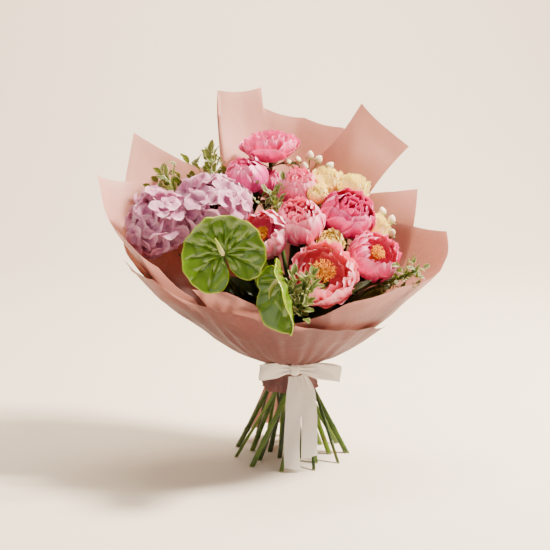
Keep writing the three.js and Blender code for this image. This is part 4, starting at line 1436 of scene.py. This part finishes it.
class Bowl:
    """The flaring bowl that every sheet is a patch of."""

    SIDE = ((0, 10), (50, 30), (100, 38), (190, 39), (260, 56), (400, 67))
    FRONT = ((0, 12), (60, 40), (160, 56), (400, 70))
    BACK = ((0, 45), (60, 64), (200, 75), (400, 84))
    NECK_HALF = 12.0
    NECK_RADIUS = 36.2
    PITCH = 2.0
    SPREAD = 0.018
    STEP = 5.0
    pleats = Ripple(5, 1.0)
    waves = Ripple(11, 150.0, 5)
    folds = Ripple(17, 62.0, 6)

    @classmethod
    def neck(cls, layer: int) -> float:
        """Returns the radius at which a layer passes the tie."""
        return cls.NECK_RADIUS + layer * cls.PITCH

    @classmethod
    def elevation(cls, azimuth: Vec, length: Vec) -> Vec:
        """Returns the paper's elevation, in radians, at azimuths in degrees and lengths."""
        s = np.sin(np.radians(azimuth))
        back, front = smooth(1.25 * s), smooth(-s)
        side = read_off(cls.SIDE, length) * (1 - back) + read_off(cls.BACK, length) * back
        return np.radians(side * (1 - front) + read_off(cls.FRONT, length) * front)

    @classmethod
    def profile(cls, azimuth: Vec, length: Vec) -> tuple[Vec, Vec]:
        """Returns how far out and how high the innermost paper is."""
        out = np.full(azimuth.shape, cls.NECK_RADIUS)
        up = np.full(azimuth.shape, cls.NECK_HALF)
        for s in np.arange(0, float(length.max()), cls.STEP):
            piece = np.clip(length - s, 0, cls.STEP)
            e = cls.elevation(azimuth, s + piece / 2)
            out = out + piece * np.cos(e)
            up = up + piece * np.sin(e)
        return out, up

    @classmethod
    def crumple(cls, azimuth: Vec, length: Vec, points: Vec) -> Vec:
        """Returns how far the paper stands out of the smooth bowl, the same for every layer.

        Args:
            azimuth: azimuths in degrees.
            length: lengths from the tie, under 0 in the skirt.
            points: the smooth bowl's points.

        Returns:
            The distance along the outward normal.
        """
        a = np.radians(azimuth)
        pleat = np.sin(23 * a + 2.2 * np.sin(5 * a)) + 0.6 * np.sin(41 * a + 3 * np.sin(3 * a) + 1.0)
        above = np.maximum(length, 0)
        near = 2.3 * smooth(above / 26) * np.exp(-above / 95) * pleat
        far = 3.5 * smooth((above - 60) / 160) * cls.waves(points)
        crease = 0.8 * smooth((above - 30) / 90) * (1 - 2.2 * np.abs(cls.folds(points)))
        below = np.maximum(-length - 4, 0)
        skirt = 3.2 * smooth(below / 24) * (1 + 0.8 * pleat) * 0.6
        return near + far + crease + skirt


@dataclass(frozen=True)
class Curl:
    """A stretch of rim that rolls over: where, how deep, how tight and which way."""

    azimuth: float
    half: float
    depth: float
    radius: float
    outward: float = 1.0


@dataclass(frozen=True)
class Sheet:
    """A sheet of paper: its layer, its gathers at the tie and its cut above and below."""

    name: str
    layer: int
    neck: tuple[float, float]
    rim: Pairs
    skirt: Pairs
    curls: tuple[Curl, ...] = ()
    flap: float = 0.0

    FAN = 0.72
    LONGEST = 450.0
    RIM_DEPTH = 7.0
    RIM_RADIUS = 36.0
    ROLL_FROM = 190.0
    ROLL_RISE = 230.0

    @classmethod
    def cut(cls, corners: Pairs, azimuth: float) -> float:
        """Returns the length to the straight cut between corners at an azimuth."""
        for k in range(len(corners) - 1):
            (a, la), (b, lb) = corners[k], corners[k + 1]
            if azimuth > b and k < len(corners) - 2:
                continue
            span = math.radians((b - a) * cls.FAN)
            angle = min(max((azimuth - a) / (b - a), 0), 1) * span
            return la * lb * math.sin(span) / (la * math.sin(angle) + lb * math.sin(span - angle))
        return corners[0][1]

    def edges(self, step: float = 2.0) -> Vec:
        """Returns azimuths across the rim, with every corner among them."""
        out = [self.rim[0][0]]
        for (a, _), (b, _) in zip(self.rim, self.rim[1:]):
            parts = math.ceil((b - a) / step)
            out += [a + (b - a) * (i + 1) / parts for i in range(parts)]
        return np.array(out)

    def surface(self) -> tuple[Vec, Vec, Vec, Vec]:
        """Shapes the sheet as a smooth patch of the bowl.

        Returns:
            The points, the lengths from the tie and the azimuths, each rows x columns, and the
            rim's length at each column.
        """
        edge = self.edges()
        gathered = self.neck[0] + (self.neck[1] - self.neck[0]) * (edge - edge[0]) / (edge[-1] - edge[0])
        full = np.array([self.cut(self.rim, e) for e in edge])
        drop = np.array([self.cut(self.skirt, e) for e in gathered])
        waist = Bowl.neck(self.layer)

        share = np.linspace(1, 0, 9)[:, None]
        down = share * drop
        out = np.hypot(waist, 0.6 * down) + 0.04 * down
        low_z = TIE_HEIGHT - Bowl.NECK_HALF - 0.93 * down
        mid = np.linspace(0, 1, 7)[1:-1, None] * np.ones_like(edge)
        mid_z = TIE_HEIGHT + (2 * mid - 1) * Bowl.NECK_HALF

        near = np.array([0, 4, 9, 15, 22, 30, 40, 52, 64, 77, 90.0])[:, None] * np.ones_like(edge)
        far = 90 + np.linspace(0, 1, 34)[1:, None] * (full - 90)
        length = np.concatenate([near, far])
        azimuth = gathered + (edge - gathered) * length / full
        bowl_out, bowl_up = Bowl.profile(azimuth, length)
        tilt = Bowl.elevation(azimuth, length)
        off = self.layer * (Bowl.PITCH + Bowl.SPREAD * length)
        opened = smooth(length / 15)
        bowl_out = bowl_out + off * (1 + (np.sin(tilt) - 1) * opened)
        bowl_z = TIE_HEIGHT + bowl_up - off * np.cos(tilt)

        radii = np.concatenate([out, mid * 0 + waist, bowl_out])
        heights = np.concatenate([low_z, mid_z, bowl_z])
        around = np.concatenate([down * 0 + gathered, mid * 0 + gathered, azimuth])
        lengths = np.concatenate([-down, mid * 0, length])
        a = np.radians(around)
        points = np.stack([np.cos(a) * radii, np.sin(a) * radii, heights], -1)
        return points, lengths, around, full

    def flat(self, plain: Vec, lengths: Vec, around: Vec) -> tuple[float, float, float]:
        """Returns the cut's width, length and area in metres, from the sheet before it is folded.

        Args:
            plain: the sheet's points without its pleats, creases and rolled rims.
            lengths: the points' lengths from the tie.
            around: the points' azimuths.
        """
        down, across = np.diff(plain, axis=0), np.diff(plain, axis=1)
        corner = np.cross(down[:, :-1], across[:-1]), np.cross(down[:, 1:], across[1:])
        area = sum(np.linalg.norm(c, axis=-1).sum() / 2 for c in corner)
        radius = np.hypot(plain[..., 0], plain[..., 1])
        wide = (radius[:, 1:] * np.radians(np.diff(around, axis=1))).sum(axis=1).max()
        tall = lengths.max() - lengths.min() + 2 * Bowl.NECK_HALF
        if self.flap:
            edge = self.flap * smooth((lengths[:, -1] - self.ROLL_FROM) / self.ROLL_RISE)
            step = np.linalg.norm(down[:, -1], axis=-1)
            area += ((edge[1:] + edge[:-1]) / 2 * step).sum()
            wide += self.flap
        return wide / 1000, tall / 1000, area / 1e6

    def relief(self, points: Vec, lengths: Vec, around: Vec, full: Vec) -> Vec:
        """Adds the folds and the rolled rims to the smooth sheet.

        Args:
            points: the smooth points.
            lengths: their lengths from the tie.
            around: their azimuths.
            full: the rim's length at each column.

        Returns:
            The points moved.
        """
        run = unit(np.gradient(points, axis=0))
        normal = unit(np.cross(np.gradient(points, axis=1), run))
        stand = 0.4 + Bowl.crumple(around, lengths, points)
        own = Ripple(len(self.name) * 7 + self.layer, 70)(points) * 0.5 * smooth(lengths / 60)
        depth = np.full_like(full, self.RIM_DEPTH)
        radius = np.full_like(full, self.RIM_RADIUS)
        way = np.ones_like(full)
        edge = around[-1]
        for curl in self.curls:
            bump = smooth(1.6 - 1.6 * np.abs(edge - curl.azimuth) / curl.half)
            depth = depth * (1 - bump) + curl.depth * bump
            radius = radius * (1 - bump) + curl.radius * bump
            way = way * (1 - bump) + curl.outward * bump
        past = np.maximum(depth - (full - lengths), 0)
        angle = past / radius
        along = radius * np.sin(angle) - past
        lift = radius * (1 - np.cos(angle)) * way
        return points + normal * (stand + own + lift)[..., None] + run * along[..., None]

    def rolled(self, points: Vec, lengths: Vec) -> Vec:
        """Adds columns that roll the sheet's last side edge over towards the flowers.

        Args:
            points: the sheet's points.
            lengths: their lengths from the tie.

        Returns:
            The points with the roll's columns after them.
        """
        edge, before = points[:, -1], points[:, -3]
        left = unit(edge - before)
        run = unit(np.gradient(edge, axis=0))
        inward = unit(np.cross(left, run)) * -1
        inward *= np.sign(np.sum(inward * -edge, axis=1))[:, None]
        rise = smooth((lengths[:, -1] - self.ROLL_FROM) / self.ROLL_RISE)[:, None]
        columns = [points]
        for q in np.linspace(0, 1, 25)[1:]:
            w = self.flap * rise * q
            radius = 6 + 9 * rise
            a = np.minimum(w / radius, math.pi)
            flat = np.maximum(w - math.pi * radius, 0)
            up = radius * (1 - np.cos(a)) + 0.12 * flat
            spot = edge + left * (radius * np.sin(a) - flat) + inward * up
            columns.append(spot[:, None])
        return np.concatenate(columns, 1)

    def build(self, place: Place) -> bpy.types.Object:
        """Makes the sheet and logs its cut."""
        plain, lengths, around, full = self.surface()
        wide, tall, area = self.flat(plain, lengths, around)
        points = self.relief(plain, lengths, around, full)
        if self.flap:
            points = self.rolled(points, lengths)
        columns = points.shape[1]
        rolled = np.repeat(lengths.max(axis=1, keepdims=True), columns - lengths.shape[1], axis=1)
        share = np.clip(np.concatenate([lengths, rolled], axis=1) / self.LONGEST, 0, 1)
        skin = place.skin()
        skin.grid(points, share, np.linspace(-1, 1, columns)[None, :], 0.1 * self.layer)
        piece = skin.build(f"{self.name}_sheet", PAPER, "wrap_paper", self.name)
        log.info("%s: cut %.0f x %.0f mm, %.4f m2; folded %.4f m2", self.name, wide * 1000,
                 tall * 1000, area, mesh_area(piece))
        return piece


def mesh_area(piece: bpy.types.Object) -> float:
    """Returns a mesh's area in square metres."""
    return sum(p.area for p in piece.data.polygons)


# ---- Ribbon ----


@dataclass(frozen=True)
class Strip:
    """A length of ribbon: its route as (across, forward, above table), from the knot."""

    name: str
    route: tuple[tuple[float, float, float], ...]
    upright: bool
    narrow: float
    is_loop: bool = False
    slant: float = 0.0


@dataclass(frozen=True)
class Bow:
    """The ribbon round the tie: band, knot, loops and tails."""

    width: float = 25.0
    band_width: float = 15.0
    band_radius: float = 42.1
    front: float = -42.5
    knot: tuple[float, float, float, float] = (6.0, 153.0, 15.0, 10.0)
    knot_height: float = 19.0
    strips: tuple[Strip, ...] = (
        Strip("ribbon_loop_left", ((-2.5, 4, 153), (-22, 12, 153.5), (-46, 15, 151), (-51, 10, 150),
                                   (-42, 4, 150), (-20, 1, 152), (-3.5, 0.8, 153)), True, 0.55, True),
        Strip("ribbon_loop_right", ((14.5, 4, 153), (34, 12, 153.5), (66, 17, 151), (78, 12, 148),
                                    (66, 2, 150), (36, 0, 152), (15.5, 0.8, 153)), True, 0.55, True),
        Strip("ribbon_tail_left", ((4.5, 6, 142.5), (4.5, 12, 122), (3, 24, 80), (0.5, 40, 38), (1.5, 53, 5)),
              False, 0.7, slant=3.0),
        Strip("ribbon_tail_right", ((17, 4, 144.5), (24, 9, 126), (28, 19, 92), (28.5, 33, 52), (28, 45, 22)),
              False, 0.6, slant=-4.0),
    )

    def build(self, place: Place) -> None:
        """Makes every piece of the bow."""
        knot = self.build_knot(place)
        self.build_band(place)
        for k, strip in enumerate(self.strips):
            self.build_strip(place, strip, k)

    def build_strip(self, place: Place, strip: Strip, seed: int) -> None:
        """Makes one loop or tail and logs its length.

        Args:
            place: the tie's place.
            strip: the length of ribbon.
            seed: the seed of its creases.
        """
        rng = np.random.default_rng(40 + seed)
        route = np.array([(x, self.front - f, z) for x, f, z in strip.route], dtype=float)
        path = Path(spline(route, 16))
        rows, columns = 90, 15
        t = np.linspace(0, 1, rows)
        middle, tangent = path.at(t), path.tangent(t)
        wide = vec(0, 0, 1) if strip.upright else vec(1, 0, 0)
        side = unit(wide - tangent * (tangent @ wide)[:, None])
        normal = np.cross(side, tangent)
        opened = np.minimum(np.minimum(4 * t, 4 * (1 - t) if strip.is_loop else 1), 1)
        half = self.width / 2 * (strip.narrow + (1 - strip.narrow) * smooth(opened))
        u = np.linspace(-1, 1, columns)
        gather = 1 - smooth(opened)
        p = rng.uniform(0, TURN, 3)
        pleat = gather[:, None] * 1.9 * np.cos(2.5 * math.pi * u + p[0]) * smooth(t * 30)[:, None]
        soft = 1.5 * np.sin(2.4 * u + 9 * t[:, None] + p[1]) * smooth(opened)[:, None]
        crown = 0.9 * (1 - u**2) * smooth(opened)[:, None]
        slant = strip.slant * u * smooth((t[:, None] - 0.8) / 0.2)
        points = (middle[:, None] + side[:, None] * (u * half[:, None])[..., None]
                  + normal[:, None] * (pleat + soft - crown)[..., None] * 0.7
                  + tangent[:, None] * slant[..., None])
        skin = place.skin()
        skin.grid(points, t[:, None] * path.length / 200, u[None, :], 0.1 * seed)
        piece = skin.build(f"{strip.name}_satin", SATIN, "satin_ribbon", strip.name)
        log.info("%s: %.0f mm of ribbon", strip.name, path.length)

    def build_knot(self, place: Place) -> bpy.types.Object:
        """Makes the knot: a bulged turn of ribbon with creases running up it."""
        across, above, width, depth = self.knot
        v = np.linspace(0, 2 * math.pi, 56, endpoint=False)[None, :]
        w = np.linspace(-1, 1, 25)[:, None]
        bulge = np.sqrt(np.clip(1 - np.abs(w) ** 2.6, 0.004, 1))
        crease = 0.55 * np.cos(9 * w + 0.7 * np.sin(v)) + 0.3 * np.sin(15 * w + v)
        x = width / 2 * w * (1 - 0.16 * np.cos(2 * v)) + across
        y = self.front - depth / 2 - (depth / 2 * bulge + crease * 0.7 * bulge) * np.cos(v) * 0.96
        z = above + (self.knot_height / 2 * bulge + crease * 0.5 * bulge) * np.sin(v)
        skin = place.skin()
        skin.grid(np.stack(np.broadcast_arrays(x, y, z), -1), v / 12, w, 0.3, wrap=True, caps=True)
        return skin.build("ribbon_knot_satin", SATIN, "satin_ribbon", "ribbon_knot")

    def build_band(self, place: Place) -> None:
        """Makes the gathered band round the tie."""
        v = np.radians(np.linspace(0, 360, 181))[:, None]
        u = np.linspace(-1, 1, 37)[None, :]
        pleat = 1.05 * np.cos(3.5 * math.pi * u + 0.8 * np.sin(3 * v))
        radius = self.band_radius + pleat
        half = self.band_width / 2 * (1 - 0.05 * np.sin(5 * v))
        x, y = np.cos(v) * radius, np.sin(v) * radius
        points = np.stack(np.broadcast_arrays(x, y, TIE_HEIGHT + u * half), -1)
        skin = place.skin()
        around = 2 * math.pi * self.band_radius
        skin.grid(points, v / (2 * math.pi) * around / 200, u, 0.2)
        piece = skin.build("ribbon_band_satin", SATIN, "satin_ribbon", "ribbon_band")


def wound_tape(place: Place) -> None:
    """Makes the florist tape: one strip wound three times round the stems."""
    turns, radius, width, half = 3.0, 35.35, 12.0, 8.0
    v = np.linspace(0, turns, 220)[:, None]
    u = np.linspace(-1, 1, 5)[None, :]
    a = 2 * math.pi * v
    out = radius + 0.12 * v + 0.06 * np.sin(9 * a)
    z = TIE_HEIGHT + (2 * v / turns - 1) * (half - width / 2) + u * width / 2
    skin = place.skin()
    skin.grid(np.stack(np.broadcast_arrays(np.cos(a) * out, np.sin(a) * out, z), -1), v / turns, u, 0.4)
    piece = skin.build("binding_tape_wound", TAPE, "binding_tape", "binding_tape")


# ---- Studio ----


@dataclass(frozen=True)
class Studio:
    """A plain pale sweep, soft light and the camera."""

    eye: tuple[float, float, float] = (-25.6, -1800.0, 637.0)
    pitch: float = 10.7
    lens: float = 75.0
    floor: Rgb = (236, 224, 208)

    def camera(self, place: Place) -> None:
        """Makes the camera."""
        data = bpy.data.cameras.new("camera")
        data.lens, data.sensor_width = self.lens, 36.0
        data.clip_end = 50
        made = add_object("camera", data)
        made.location = Vector(place.metres(vec(*self.eye)))
        made.rotation_euler = (math.radians(90 - self.pitch), 0, 0)
        bpy.context.scene.camera = made

    def light(self, name: str, at: Vec, towards: Vec, size: float, power: float, colour: Rgb) -> None:
        """Makes an area light.

        Args:
            name: the light's name.
            at: where it stands, in metres.
            towards: where it looks.
            size: its side, in metres.
            power: its power, in watts.
            colour: its colour.
        """
        data = bpy.data.lights.new(name, "AREA")
        data.size, data.energy, data.color = size, power, srgb(*colour)[:3]
        made = add_object(name, data)
        made.location = Vector(at)
        aim = Vector(towards) - Vector(at)
        made.rotation_euler = aim.to_track_quat("-Z", "Y").to_euler()

    def build(self, place: Place) -> None:
        """Makes the sweep, the lights and the camera."""
        material = bpy.data.materials.new("sweep")
        material.use_nodes = True
        shader = material.node_tree.nodes["Principled BSDF"]
        shader.inputs["Base Color"].default_value = srgb(*self.floor)
        shader.inputs["Roughness"].default_value = 0.95
        bend = np.radians(np.linspace(0, 90, 17))
        deep = np.concatenate([[-6.0], 1.6 + 1.4 * np.sin(bend), [3.0]])
        tall = np.concatenate([[0.0], 1.4 * (1 - np.cos(bend)), [9.0]])
        corners = [(x, y, z) for y, z in zip(deep, tall) for x in (-9.0, 9.0)]
        mesh = bpy.data.meshes.new("sweep")
        strips = [(k, k + 1, k + 3, k + 2) for k in range(0, 2 * len(deep) - 2, 2)]
        mesh.from_pydata(corners, [], strips)
        mesh.polygons.foreach_set("use_smooth", [True] * len(mesh.polygons))
        mesh.materials.append(material)
        add_object("sweep", mesh)
        world = bpy.data.worlds.new("air")
        world.use_nodes = True
        back = world.node_tree.nodes["Background"]
        back.inputs[0].default_value = srgb(255, 246, 236)
        back.inputs[1].default_value = 0.36
        bpy.context.scene.world = world
        middle = vec(0, 0, 0.32)
        self.light("key", vec(1.4, 0.05, 2.1), middle, 0.4, 275, (255, 243, 224))
        self.light("fill", vec(-1.6, -1.7, 1.6), middle, 1.8, 9, (250, 244, 255))
        self.light("wall", vec(0, 0.9, 3.2), vec(0, 3.0, 1.0), 1.6, 215, (255, 240, 216))
        self.camera(place)


# ---- The bunch ----


PEONIES = (
    Peony(1, Head((-34, 90, 495), (-95, 78), 46, 38), Habit.SHALLOW, Petals.P1),
    Peony(2, Head((-72, 45, 449), (-110, 62), 28, 47), Habit.UPRIGHT, Petals.P2, slot="peony_petal_blush"),
    Peony(3, Head((-35, 66, 434), (-90, 76), 21, 34), Habit.BOWL, Petals.P3),
    Peony(4, Head((10, 35, 431), (-90, 60), 32, 46), Habit.BOWL, Petals.P4, slot="peony_petal_blush"),
    Peony(5, Head((13, -45, 388), (-95, 50), 37, 51), Habit.BOWL, Petals.P5),
    Peony(6, Head((88, -15, 394), (-68, 45), 44, 55), Habit.BOWL, Petals.P6, slot="peony_petal_magenta"),
    Peony(7, Head((-42, -62, 369), (-105, 32), 35, 48), Habit.CUP, Petals.P7, 9),
    Peony(8, Head((49, -103, 315), (-97, 36), 45, 56), Habit.OPEN, Petals.P8, 18),
    Peony(9, Head((126, -50, 334), (-55, 38), 35, 50), Habit.CUP, Petals.P9, 11),
)
HYDRANGEAS = (
    Hydrangea(1, Head((-208, -15, 384), (-150, 40), 50, 84), 74),
    Hydrangea(2, Head((-128, 0, 404), (-115, 55), 60, 88), 92),
)
ROSES = tuple(
    Rose(k + 1, Head(at, faces, radius * 1.22, height, 11))
    for k, (at, faces, radius, height) in enumerate((
        ((58, 48, 440), (-80, 68), 20, 34), ((99, 38, 430), (-55, 60), 20, 34),
        ((42, 6, 424), (-90, 55), 11, 24),
        ((134, 10, 372), (-35, 45), 15, 32), ((60, -58, 358), (-88, 48), 15, 28),
    ))
)
ANTHURIUMS = (
    Anthurium(1, (-102, -135, 354), (-123, -128, 405), (-97, 20), 124, 0.08),
    Anthurium(2, (-16, -156, 320), (8, -192, 250), (-146, -10), 68, 0.5),
)
HYPERICUMS = (
    Hypericum(1, (27, 90, 432), ((32, 88, 480), (46, 88, 473), (12, 92, 472), (-4, 92, 468), (23, 86, 462),
                                 (64, 90, 462))),
    Hypericum(2, (156, 44, 345), ((148, 36, 393), (162, 30, 381), (162, 26, 361))),
)
PITTOSPORUMS = tuple(
    Pittosporum(k + 1, *row)
    for k, row in enumerate((
        ((-208, 54, 452), (160, 62), 12, 24, 0.35), ((-136, 74, 480), (120, 70), 12, 24, 0.35),
        ((-28, -8, 432), (-95, 66), 9, 19, 0.5), ((18, -164, 322), (-66, 72), 12, 21, 0.6),
        ((192, -74, 318), (-25, 24), 14, 17, 0.6),
    ))
)
STEM_LEAVES = (
    StemLeaf(2, 0.9, (-47, 0, 450), 15), StemLeaf(6, 0.84, (88, -66, 366), 17),
    StemLeaf(8, 0.86, (99, -120, 289), 22), StemLeaf(8, 0.78, (10, -128, 280), 26),
    StemLeaf(7, 0.8, (-52, -112, 292), 28), StemLeaf(1, 0.84, (-72, 98, 420), 30),
    StemLeaf(9, 0.78, (158, -22, 296), 28),
)
SHEETS = (
    Sheet("wrap_right_back", 0, (62, 112), ((27, 385), (45, 427), (72, 329), (100, 250)),
          ((62, 24), (90, 26), (112, 24))),
    Sheet("wrap_left", 0, (125, 208), ((134, 300), (161, 354), (176, 414), (207, 256), (214, 190)),
          ((125, 24), (170, 30), (208, 26))),
    Sheet("wrap_front_inner", 0, (-140, 30),
          ((-142, 208), (-122, 205), (-109, 184), (-101, 142), (-82, 152), (-62, 180), (-36, 216), (-17, 236),
           (8, 302), (28, 256)), ((-140, 26), (-90, 30), (-30, 28), (30, 24))),
    Sheet("wrap_left_back", 1, (125, 200), ((128, 290), (149, 350), (160, 434), (167, 365), (196, 220)),
          ((125, 22), (170, 28), (200, 24))),
    Sheet("wrap_right", 1, (6, 66), ((23, 328), (29, 305), (72, 250)), ((6, 26), (30, 30), (66, 24))),
    Sheet("wrap_back", 2, (52, 146),
          ((52, 378), (60, 385), (82, 400), (105, 417), (106, 451), (131, 448), (134, 300)),
          ((52, 30), (92, 132), (144, 142), (146, 60)), flap=110.0),
    Sheet("wrap_front_outer", 2, (168, 345),
          ((168, 215), (184, 278), (206, 244), (216, 190), (245, 168), (268, 158), (290, 140), (320, 132),
           (350, 136)), ((168, 24), (220, 30), (290, 32), (345, 26)), (Curl(176, 9, 12, 14),)),
)


def build_stems(place: Place) -> None:
    """Makes every stem, the leaves left on the peonies' and the sprigs of leaves."""
    bundle = Bundle()
    peonies = {p.number: bundle.head(f"peony_{p.number}_stem", 3.9, p.head) for p in PEONIES}
    for h in HYDRANGEAS:
        bundle.head(f"hydrangea_{h.number}_stem", 4.1, h.head)
    for r in ROSES:
        bundle.head(f"rose_{r.number}_stem", 3.3, r.head)
    for a in ANTHURIUMS:
        bundle.add(f"anthurium_{a.number}_stem", 3.0, *a.stem_end())
    for h in HYPERICUMS:
        bundle.add(f"hypericum_{h.number}", 2.5, vec(*h.fork), vec(0, 0, 1))
    sprigs = {s.number: bundle.add(f"pittosporum_{s.number}", 2.4, vec(*s.at), direction(*s.faces))
              for s in PITTOSPORUMS}
    bundle.share()
    for k, stem in enumerate(bundle.stems):
        bundle.build(place, stem, 60 + k)
    for sprig in PITTOSPORUMS:
        sprig.build(place, sprigs[sprig.number])
    for peony in PEONIES:
        skin = place.skin()
        for blade in (b for b in STEM_LEAVES if b.peony == peony.number):
            blade.add(skin, peonies[peony.number])
        collar(skin, peony, peonies[peony.number])
        skin.build(f"peony_{peony.number}_leaves", LEAF, "green_stem")


def collar(skin: Skin, peony: Peony, stem: Stem) -> None:
    """Adds the dark leaves that spread just under a peony's head.

    Args:
        skin: the mesh that takes them.
        peony: the flower.
        stem: its stem.
    """
    rng = np.random.default_rng(1300 + peony.number)
    axis = direction(*peony.head.faces)
    turn = basis(axis)
    root = stem.path.at(0.965)
    for k in range(4):
        a = 2 * math.pi * (k + rng.uniform(-0.2, 0.2)) / 4
        out = turn @ spoke(a)
        tip = root + out * peony.head.radius * 1.15 + axis * peony.head.radius * rng.uniform(0.0, 0.35)
        tip = tip - vec(0, 0, 6)
        skin.grid(*leaf_grid(root, tip, 17, axis + 0.01, k, 0.1, 0.2, 0.02, 13, 7),
                  float(rng.uniform()))


def undergrowth(place: Place) -> None:
    """Makes the dark leaves that fill the bowl between and below the heads."""
    rng = np.random.default_rng(77)
    skin = place.skin()
    for k in range(120):
        azimuth = -95 + 360 * ((k * 0.618) % 1) if k % 4 == 0 else rng.uniform(-185, 0)
        length = rng.uniform(120, 215) if azimuth < 0 else rng.uniform(150, 260)
        out, up = Bowl.profile(np.array([float(azimuth)]), np.array([length]))
        share = rng.uniform(0.35, 0.9)
        tip = direction(azimuth, 0) * (float(out[0]) * share) + vec(0, 0, TIE_HEIGHT + float(up[0]) + 22)
        root = direction(azimuth + rng.normal(0, 20), 0) * (float(out[0]) * share * 0.5)
        root = root + vec(0, 0, TIE_HEIGHT + float(up[0]) * 0.55)
        face = unit(direction(azimuth, 0) * 0.4 + vec(0, 0, 1) + rng.normal(0, 0.25, 3))
        skin.grid(*leaf_grid(root, tip, rng.uniform(20, 30), face, k, 0.16, 0.22, 0.03, 13, 7),
                  float(rng.uniform(0, 0.6)))
    skin.build("undergrowth", LEAF, "green_stem")


def main() -> None:
    """Builds the bunch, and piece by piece."""
    logging.basicConfig(level=logging.INFO, format="%(name)s: %(message)s", stream=sys.stdout)
    place = Place.find()
    Studio().build(place)
    build_stems(place)
    for flower in (*PEONIES, *HYDRANGEAS, *ROSES, *ANTHURIUMS, *HYPERICUMS):
        flower.build(place)
    undergrowth(place)
    wound_tape(place)
    for sheet in SHEETS:
        sheet.build(place)
    Bow().build(place)


if __name__ == "__main__":
    main()
